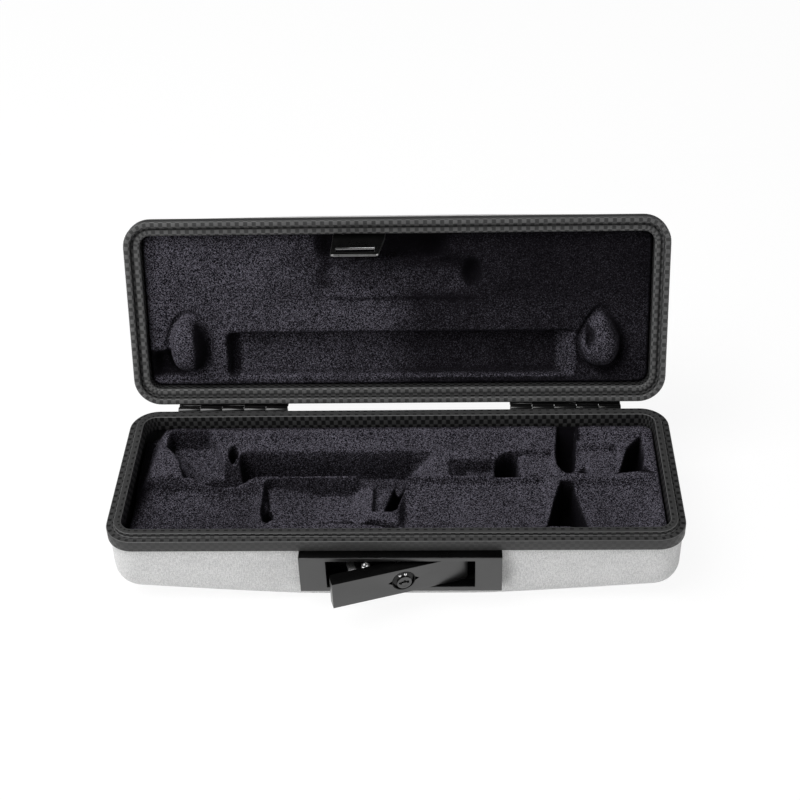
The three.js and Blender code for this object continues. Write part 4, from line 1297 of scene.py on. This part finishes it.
def knuckle(name, ends):
    """One rolled knuckle with a rounded rim and its bore."""
    piece = rod(name, 1.85 * MM, ends, 0, hinge_place, 40)
    edit(piece)
    for side in (-1, 1):
        walk(
            piece,
            lambda face: face.normal.x * side > 0.9 and len(face.verts) > 8,
            [(0.95 * MM, 0), (0, -0.7 * MM)],
        )
    let_go()
    soften(piece, 0.22 * MM)
    return piece


def make_hinge(label, centre):
    size = sizes()
    total = 49.8 * MM
    start = centre - total / 2
    pitch = total / size.knuckles
    gap = 0.3 * MM
    for side, body in ((-1, "base"), (1, "lid")):
        leaf = leaf_strip(f"hinge_{label}_{body}", (start, start + total), side)
        parts = [leaf]
        for index in range(size.knuckles):
            low, high = start + index * pitch, start + (index + 1) * pitch
            if (index % 2 == 0) == (side < 0):
                parts.append(knuckle("knuckle", (low + gap / 4, high - gap / 4)))
                continue
            depth = (rim_high.y - MM, hinge_place.y + 4 * MM)
            height = (hinge_place.z - 2.2 * MM, hinge_place.z + 2.2 * MM)
            carve(leaf, block("knuckle_cutter", (low - gap / 2, high + gap / 2), depth, height))
        soften(leaf, 0.2 * MM, 2)
        piece = join(parts)
        smooth(piece)
        if side > 0:
            open_lid(piece)
        node_name = f"hinge_{label}_{body}_leaf"
        finish_piece(piece, material("hinge"), body, [node_name])
    ends = (start + 0.3 * MM, start + total - 0.3 * MM)
    pin = rod(f"hinge_{label}_pin_head", 0.8 * MM, ends, 0, hinge_place, 24)
    soften(pin, 0.2 * MM)
    smooth(pin)
    finish_piece(pin, material("steel"), "base", [f"hinge_{label}_pin"])


def make_rivets():
    for body, prefix in (("base", "hinge_base_rivet"), ("lid", "hinge_lid_rivet")):
        first = None
        for number in range(1, 5):
            node_name = f"{prefix}_{number}"
            low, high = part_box(node_name)
            centre = (low + high) / 2
            if first is None:
                let_go()
                bpy.ops.mesh.primitive_cylinder_add(
                    vertices=32, radius=1.7 * MM, depth=0.5 * MM, location=(0, 0, 0)
                )
                first = keep(f"{body}_rivet_{number}")
                edit(first)
                walk(
                    first,
                    lambda face: face.normal.z > 0.9,
                    [mm(0.35, 0.2), mm(0.4, 0.12), mm(0.4, 0.06)],
                )
                let_go()
                soften(first, 0.1 * MM, 2)
                smooth(first, 50)
                piece = first
                template = first.data.copy()
            else:
                let_go()
                piece = bpy.data.objects.new(f"{body}_rivet_{number}", template.copy())
                bpy.context.scene.collection.objects.link(piece)
            place = Vector((centre.x, high.y, centre.z)) if body == "base" else closed_place(node_name)
            facing = Matrix.Rotation(-RIGHT_ANGLE, 4, "X")
            piece.matrix_world = Matrix.Translation(place - Vector((0, 0.55 * MM, 0))) @ facing
            active(piece)
            bpy.ops.object.transform_apply(location=True, rotation=True, scale=True)
            if body == "lid":
                open_lid(piece)
            finish_piece(piece, material("hinge"), body, [node_name])


def closed_place(node_name):
    """Where the rear end of a lid node's rivet lies with the lid closed."""
    back = Matrix.Rotation(lid_turn, 4, "X")
    whole = Matrix.Translation(hinge_place) @ back @ Matrix.Translation(-hinge_place)
    points = [whole @ vertex.co for vertex in frame["nodes"][node_name].data.vertices]
    low = [min(point[i] for point in points) for i in range(3)]
    high = [max(point[i] for point in points) for i in range(3)]
    return Vector(((low[0] + high[0]) / 2, high[1], (low[2] + high[2]) / 2))


# Latch


OPENING_X = mm(-28.2, 33.2)
OPENING_Z = mm(13.7, 28.3)
LOCK = Vector((2.5 * MM, 0, 21.0 * MM))
LATCH_FACE = -46.65 * MM
HOOK_X = mm(-15.05, -7.55)


LOOKS_UP = 0.75


def make_bezel():
    spread = 0.5 * MM
    x_span = (bezel_low.x - spread, bezel_high.x + spread)
    z_span = (bezel_low.z - spread, bezel_high.z)
    piece = block("bezel", x_span, (bezel_low.y, bezel_high.y), z_span)
    edit(piece)
    cut(piece, 0, OPENING_X)
    cut(piece, 2, OPENING_Z)
    pierce(piece, OPENING_X, OPENING_Z)

    def follow_cover(co):
        if co.y > bezel_high.y - NEAR:
            co.y = -cover_wall(-1, co.z) - 0.15 * MM

    shift(piece, follow_cover)
    tidy(piece)
    soften(piece, 0.3 * MM)
    smooth(piece)
    # Faces that look up take painted shade
    paint(piece, ("latch", "latch top"), lambda face: face.normal.z > LOOKS_UP)
    finish_piece(piece, None, "base", ["latch_bezel"])


def make_lever():
    low_x, high_x = OPENING_X[0] + 0.7 * MM, OPENING_X[1] - 3.1 * MM
    low_z, high_z = OPENING_Z[0] + 0.3 * MM, OPENING_Z[1] - 1.0 * MM
    back = LATCH_FACE + 6 * MM
    piece = block("lever", (low_x, high_x), (LATCH_FACE, back), (low_z, high_z))
    edit(piece)
    thumb = 6 * MM
    cut(piece, 0, [high_x - thumb * share for share in (1.0, 0.75, 0.5, 0.25)])
    # The end under the thumb is pressed in

    def press_thumb(co):
        beyond = (co.x - high_x + thumb) / thumb
        if beyond > 0 and co.y < LATCH_FACE + MM:
            co.y += 0.5 * MM * beyond * beyond

    def is_back_corner(edge):
        centre = middle(edge)
        at_end = abs(centre.x - low_x) < NEAR or abs(centre.x - high_x) < NEAR
        return abs(along(edge).z) > 0.9 and centre.y > back - NEAR and at_end

    def is_tail_foot(edge):
        centre = middle(edge)
        at_foot = abs(centre.x - high_x) < NEAR and centre.z < low_z + NEAR
        return at_foot and abs(along(edge).y) > 0.7

    shift(piece, press_thumb)
    bevel(piece, is_back_corner, 1.6 * MM, 4)
    bevel(piece, is_tail_foot, 1.2 * MM, 5)
    tidy(piece)
    lug = block("lug", HOOK_X, (back - 1.6 * MM, back + 4.4 * MM), mm(19.5, 21.9))
    carve(piece, rod("ring_cutter", 5.0 * MM, (LATCH_FACE - MM, LATCH_FACE + 1.7 * MM), 1, LOCK, 64))
    for side in (-1, 1):
        let_go()
        bpy.ops.mesh.primitive_cylinder_add(
            vertices=3,
            radius=2.1 * MM,
            depth=3.4 * MM,
            location=(LOCK.x + side * 4.6 * MM, LATCH_FACE, LOCK.z),
            rotation=(RIGHT_ANGLE, side * RIGHT_ANGLE, 0),
        )
        carve(piece, keep("notch_cutter"))
    carve(piece, rod("lock_cutter", 3.7 * MM, (LATCH_FACE - MM, back + MM), 1, LOCK, 64))
    keeper = block("keeper_cutter", mm(-1.2, 6.2), mm(-42.0, -40), mm(25.9, 29))
    carve(piece, keeper)
    soften(piece, 0.2 * MM, 3, 40)
    soften(lug, 0.3 * MM, 2)
    piece = join([piece, lug])
    smooth(piece)
    def in_painted_shade(face):
        """Faces that look up, and those sunk round the lock."""
        sunk = LATCH_FACE + 0.3 * MM < face.center.y < LATCH_FACE + 3 * MM
        away = (face.center - LOCK - Vector((0, face.center.y, 0))).length
        return face.normal.z > LOOKS_UP or (sunk and away < 7.6 * MM)

    paint(piece, ("latch", "latch top"), in_painted_shade)
    open_lever(piece)
    finish_piece(piece, None, "lever", ["latch_lever"])


def make_lock():
    ring = rod("lock_ring", 4.95 * MM, (LATCH_FACE - 0.05 * MM, LATCH_FACE + 1.6 * MM), 1, LOCK, 64)
    carve(ring, rod("bore_cutter", 4.6 * MM, (LATCH_FACE - MM, LATCH_FACE + 2 * MM), 1, LOCK, 64))
    soften(ring, 0.1 * MM, 2)
    smooth(ring, 50)
    open_lever(ring)
    # The ring takes painted shade, a dark line round the lock
    finish_piece(ring, material("latch top"), "lever", ["lock_bezel"])

    dish = LATCH_FACE + 0.75 * MM
    head = rod("lock_barrel", 4.5 * MM, (dish, LATCH_FACE + 1.6 * MM), 1, LOCK, 64)
    body = rod("lock_body", 3.3 * MM, (LATCH_FACE + 1.5 * MM, -40.65 * MM), 1, LOCK, 48)
    centre = LOCK + Vector((0.3 * MM, 0, -1.35 * MM))
    disc = rod("key_disc", 3.1 * MM, (LATCH_FACE + 0.05 * MM, dish + 0.1 * MM), 1, centre, 64)
    edit(disc)
    walk(
        disc,
        lambda item: item.normal.y < -0.9 and len(item.verts) > 8,
        [mm(0.5, 0.1), mm(0.5, -0.15), mm(0.5, -0.2)],
    )
    let_go()
    # The keyhole, cut as one slot with wards above and below
    for x_span, z_span in (
        ((-2.4, 2.0), (-0.3, 0.7)),
        ((-1.8, -1.0), (-0.9, 0.4)),
        ((-0.3, 0.6), (0.1, 1.3)),
        ((1.1, 2.0), (-0.7, 0.5)),
    ):
        shape = block(
            "key_cutter",
            [centre.x + value * MM for value in x_span],
            (LATCH_FACE - MM, dish + MM),
            [centre.z + value * MM for value in z_span],
        )
        carve(disc, shape)
    disc.data.materials.append(material("latch"))
    # The head is black: its crescent left open above the lowered key disc is painted shade in the
    # lock's dish
    for piece in (head, body):
        soften(piece, 0.15 * MM, 2)
        piece.data.materials.append(material("black"))
    dots = []
    for x, z in ((-1.4, 2.6), (0.95, 2.75)):
        let_go()
        bpy.ops.mesh.primitive_uv_sphere_add(
            segments=20,
            ring_count=10,
            radius=0.75 * MM,
            location=(LOCK.x + x * MM, dish + 0.15 * MM, LOCK.z + z * MM),
        )
        dot = keep("detent")
        dot.data.materials.append(material("steel"))
        dots.append(dot)
    barrel = join([head, body, disc, *dots])
    smooth(barrel, 40)
    open_lever(barrel)
    finish_piece(barrel, None, "lock", ["lock_cylinder"])


def make_hook():
    split, plate_back, tab_back = mm(-9.55, -35.95, -31)
    piece = block("hook", HOOK_X, (-40.35 * MM, plate_back), mm(22.2, 23.8))
    edit(piece)
    cut(piece, 0, (split,))

    def is_tab(face):
        return face.normal.y > 0.9 and face.calc_center_median().x < split

    def is_tab_left(face):
        return face.normal.x < -0.9 and face.calc_center_median().y > plate_back

    for test, reach in ((is_tab, (0, 5.35 * MM, 0)), (is_tab_left, (-3.0 * MM, 0, 0))):
        pick(piece, "faces", test)
        bpy.ops.mesh.extrude_region_move(TRANSFORM_OT_translate={"value": reach})
    bevel(piece, lambda edge: abs(along(edge).z) > 0.9 and middle(edge).y > tab_back, 1.6 * MM, 4)
    tidy(piece)
    soften(piece, 0.22 * MM)
    smooth(piece)
    # The plate lies in shadow and is painted black as shade, and the tab is bare
    paint(piece, ("steel", "black"), lambda face: face.center.x > -15.2 * MM)
    open_lever(piece)
    finish_piece(piece, None, "lever", ["latch_hook"])
    low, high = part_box("hook_rivet")
    centre = (low + high) / 2
    rivet = rod("hook_rivet_head", 1.8 * MM, (high.z - 0.8 * MM, 26.2 * MM), 2, centre, 40)
    edit(rivet)
    walk(
        rivet,
        lambda face: face.normal.z > 0.9,
        [mm(0.3, 0.15), (0.35 * MM, 0), mm(0.2, -1.4)],
    )
    let_go()
    smooth(rivet, 45)
    finish_piece(rivet, material("steel"), "lever", ["hook_rivet"])


def make_strike():
    low, high = -27.5 * MM, -4.5 * MM
    flange, root, tip = mm(-35.45, -34.6, 19.0)
    top, foot, bend = mm(44.5, 39.0, 37.2)
    thick = 1.25 * MM
    lean = math.tan(math.radians(8))
    piece = block("strike_tongue", (low, high), (flange, flange + thick), (tip, top))
    edit(piece)
    window_x, window_z = mm(-25.35, -8.65), mm(21.8, 26.2)
    cut(piece, 2, (foot, bend, 30 * MM, *window_z))
    cut(piece, 0, window_x)

    pierce(piece, window_x, window_z)

    def lean_and_narrow(co):
        z = co.z
        if z <= bend + NEAR:
            co.y += (root - flange) + (bend - z) * lean
        share = (bend - z) / (bend - tip)
        if share > 0 and co.x > -8.6 * MM:
            co.x -= 2.2 * MM * share

    def is_tip_corner(edge):
        centre = middle(edge)
        at_side = centre.x < low + MM / 10 or centre.x > high - 2.4 * MM
        return abs(along(edge).y) > 0.7 and centre.z < tip + MM / 10 and at_side

    shift(piece, lean_and_narrow)
    bevel(piece, is_tip_corner, 1.5 * MM, 5)
    tidy(piece)
    soften(piece, 0.35 * MM, 3, 25)
    smooth(piece)
    open_lid(piece)
    # The strike's broad faces take painted shade and its edges a painted highlight
    paint(piece, ("latch edge", "latch top"), lambda face: abs(face.normal.z) > LOOKS_UP)
    finish_piece(piece, None, "lid", ["strike"])


# Nodes that keep their own mesh


def dress_nodes():
    finishes = {
        "lower_shell": "shell",
        "lid_shell": "shell",
        "latch_housing": "black",
        "lever_pin": "steel",
        "latch_screw_1": "steel",
        "latch_screw_2": "steel",
        "lock_cam": "steel",
        "cam_screw": "steel",
        "strike_screw_1": "steel",
        "strike_screw_2": "steel",
    }
    for name, finish in finishes.items():
        mesh = frame["nodes"][name].data
        mesh.materials.clear()
        mesh.materials.append(material(finish))


# Stage


def floor_material():
    made, tree, shader = material_of("stage_white", Base_Color=(0.86, 0.86, 0.86, 1), Roughness=0.9)
    shader.inputs["Specular IOR Level"].default_value = 0.0
    path = node(tree, "LightPath")
    away = node(tree, "VectorMath", {0: object_place(tree)}, operation="LENGTH")
    near = between(tree, away.outputs["Value"], 0.3, 0.7, 1.0, 0.1)
    glossy = times(tree, path.outputs["Is Glossy Ray"], near)
    level = maths(tree, "ADD", path.outputs["Is Camera Ray"], glossy)
    level = times(tree, level, 1.06)
    glow = node(tree, "Emission", {"Color": (1, 1, 1, 1), "Strength": level})
    seen = times(tree, path.outputs["Is Camera Ray"], 0.86)
    share = maths(tree, "ADD", seen, path.outputs["Is Glossy Ray"])
    mixed = node(tree, "MixShader", {0: share, 1: shader.outputs[0], 2: glow.outputs[0]})
    tree.links.new(mixed.outputs[0], tree.nodes["Material Output"].inputs["Surface"])
    return made


def lamp(name, place, target, power, width, height):
    let_go()
    bpy.ops.object.light_add(type="AREA", location=place)
    made = bpy.context.object
    made.name = name
    made.data.shape = "RECTANGLE"
    made.data.size, made.data.size_y = width, height
    made.data.energy = power
    aim = Vector(target) - Vector(place)
    made.rotation_mode = "QUATERNION"
    made.rotation_quaternion = aim.to_track_quat("-Z", "Y")


def make_world(strength):
    world = bpy.context.scene.world or bpy.data.worlds.new("World")
    bpy.context.scene.world = world
    world.use_nodes = True
    tree = world.node_tree
    tree.nodes.clear()
    path = node(tree, "LightPath")
    seen = maths(tree, "MAXIMUM", path.outputs["Is Camera Ray"], path.outputs["Is Transmission Ray"])
    level = scaled(tree, seen, 1.0 - strength, strength)
    shiny = times(tree, path.outputs["Is Glossy Ray"], strength * 0.5)
    level = maths(tree, "SUBTRACT", level, shiny)
    background = node(tree, "Background", {"Color": (1, 1, 1, 1), "Strength": level})
    out = node(tree, "OutputWorld")
    tree.links.new(background.outputs[0], out.inputs["Surface"])


def make_stage():
    stage = bpy.context.scene.case_stage
    let_go()
    bpy.ops.mesh.primitive_plane_add(size=stage.floor, location=(0, 0, -0.2 * MM))
    floor = keep("stage_floor")
    floor.data.materials.append(floor_material())
    make_world(stage.sky)
    lamp("key_lamp", (-0.6, -0.3, 1.25), (0, 0, 0.03), stage.key, 1.0, 1.0)
    lamp("fill_lamp", (-0.85, -0.95, 0.36), (0, 0, 0.05), stage.fill, 0.5, 0.4)
    lamp("bounce_lamp", (1.1, -0.45, 0.12), (0, 0, 0.03), stage.bounce, 0.5, 0.2)
    let_go()
    bpy.ops.object.camera_add()
    camera = bpy.context.object
    camera.name = "photo_camera"
    camera.rotation_mode = "QUATERNION"
    turned = (
        Matrix.Rotation(math.radians(2.519), 4, "Z")
        @ Matrix.Rotation(math.radians(51.48), 4, "X")
        @ Matrix.Rotation(math.radians(-1.980), 4, "Z")
    )
    camera.location = (24.456 * MM, -493.824 * MM, 469.136 * MM)
    camera.rotation_quaternion = turned.to_quaternion()
    camera.data.sensor_width = 36
    camera.data.lens = 68.83
    camera.data.clip_start = 0.01
    camera.data.clip_end = 50
    scene = bpy.context.scene
    scene.camera = camera
    scene.view_settings.view_transform = "Standard"


# Operators


class CaseOperator:
    bl_options = {"REGISTER", "UNDO"}

    def execute(self, context):
        self.make()
        return {"FINISHED"}


def operator(name, label, words, *makers):
    """An operator class that calls its makers in order."""

    def make(self):
        for maker in makers:
            maker()

    return type(
        "CASE_OT_" + name,
        (CaseOperator, bpy.types.Operator),
        {"bl_idname": "case." + name, "bl_label": label, "__doc__": words, "make": make},
    )


OPERATORS = (
    operator(
        "stage", "Stage", "Make the floor, the lights, the surroundings and the camera", make_stage
    ),
    operator("covers", "Covers", "Make both woven covers", make_base_cover, make_lid_cover),
    operator("base_rim", "Base Rim", "Make the base's rim with its ledge and lip", make_base_rim),
    operator("lid_rim", "Lid Rim", "Make the lid's rim with its two bands", make_lid_rim),
    operator("tray", "Tray", "Press the base's velvet tray into shape", make_tray),
    operator("pad", "Pad", "Press the lid's velvet pad into shape", make_pad),
    operator(
        "hinges",
        "Hinges",
        "Make both hinges with their knuckles and pins",
        lambda: make_hinge("left", -75.2 * MM),
        lambda: make_hinge("right", 75.2 * MM),
        make_rivets,
    ),
    operator(
        "latch", "Latch", "Make the bezel, the lever and the lock", make_bezel, make_lever, make_lock
    ),
    operator("catch", "Catch", "Make the hook and the strike", make_hook, make_strike),
    operator("nodes", "Hidden Parts", "Give the hidden parts their materials", dress_nodes),
)


class CASE_PT_panel(bpy.types.Panel):
    """Lists the pieces of the case"""

    bl_label = "Piccolo Case"
    bl_idname = "CASE_PT_panel"
    bl_space_type = "VIEW_3D"
    bl_region_type = "UI"
    bl_category = "Case"

    def draw(self, context):
        for made in OPERATORS:
            self.layout.operator(made.bl_idname)
        for group in ("case_sizes", "case_colours", "case_stage"):
            settings = getattr(context.scene, group)
            for name in settings.bl_rna.properties.keys():
                if name not in ("rna_type", "name"):
                    self.layout.prop(settings, name)


CLASSES = (CaseSizes, CaseColours, CaseStage, *OPERATORS, CASE_PT_panel)


def register():
    for made in CLASSES:
        bpy.utils.register_class(made)
    bpy.types.Scene.case_sizes = bpy.props.PointerProperty(type=CaseSizes)
    bpy.types.Scene.case_colours = bpy.props.PointerProperty(type=CaseColours)
    bpy.types.Scene.case_stage = bpy.props.PointerProperty(type=CaseStage)


def unregister():
    del bpy.types.Scene.case_stage
    del bpy.types.Scene.case_colours
    del bpy.types.Scene.case_sizes
    for made in reversed(CLASSES):
        bpy.utils.unregister_class(made)


def main():
    register()
    for made in OPERATORS:
        group, name = made.bl_idname.split(".")
        getattr(getattr(bpy.ops, group), name)()
    let_go()


if __name__ == "__main__":
    main()
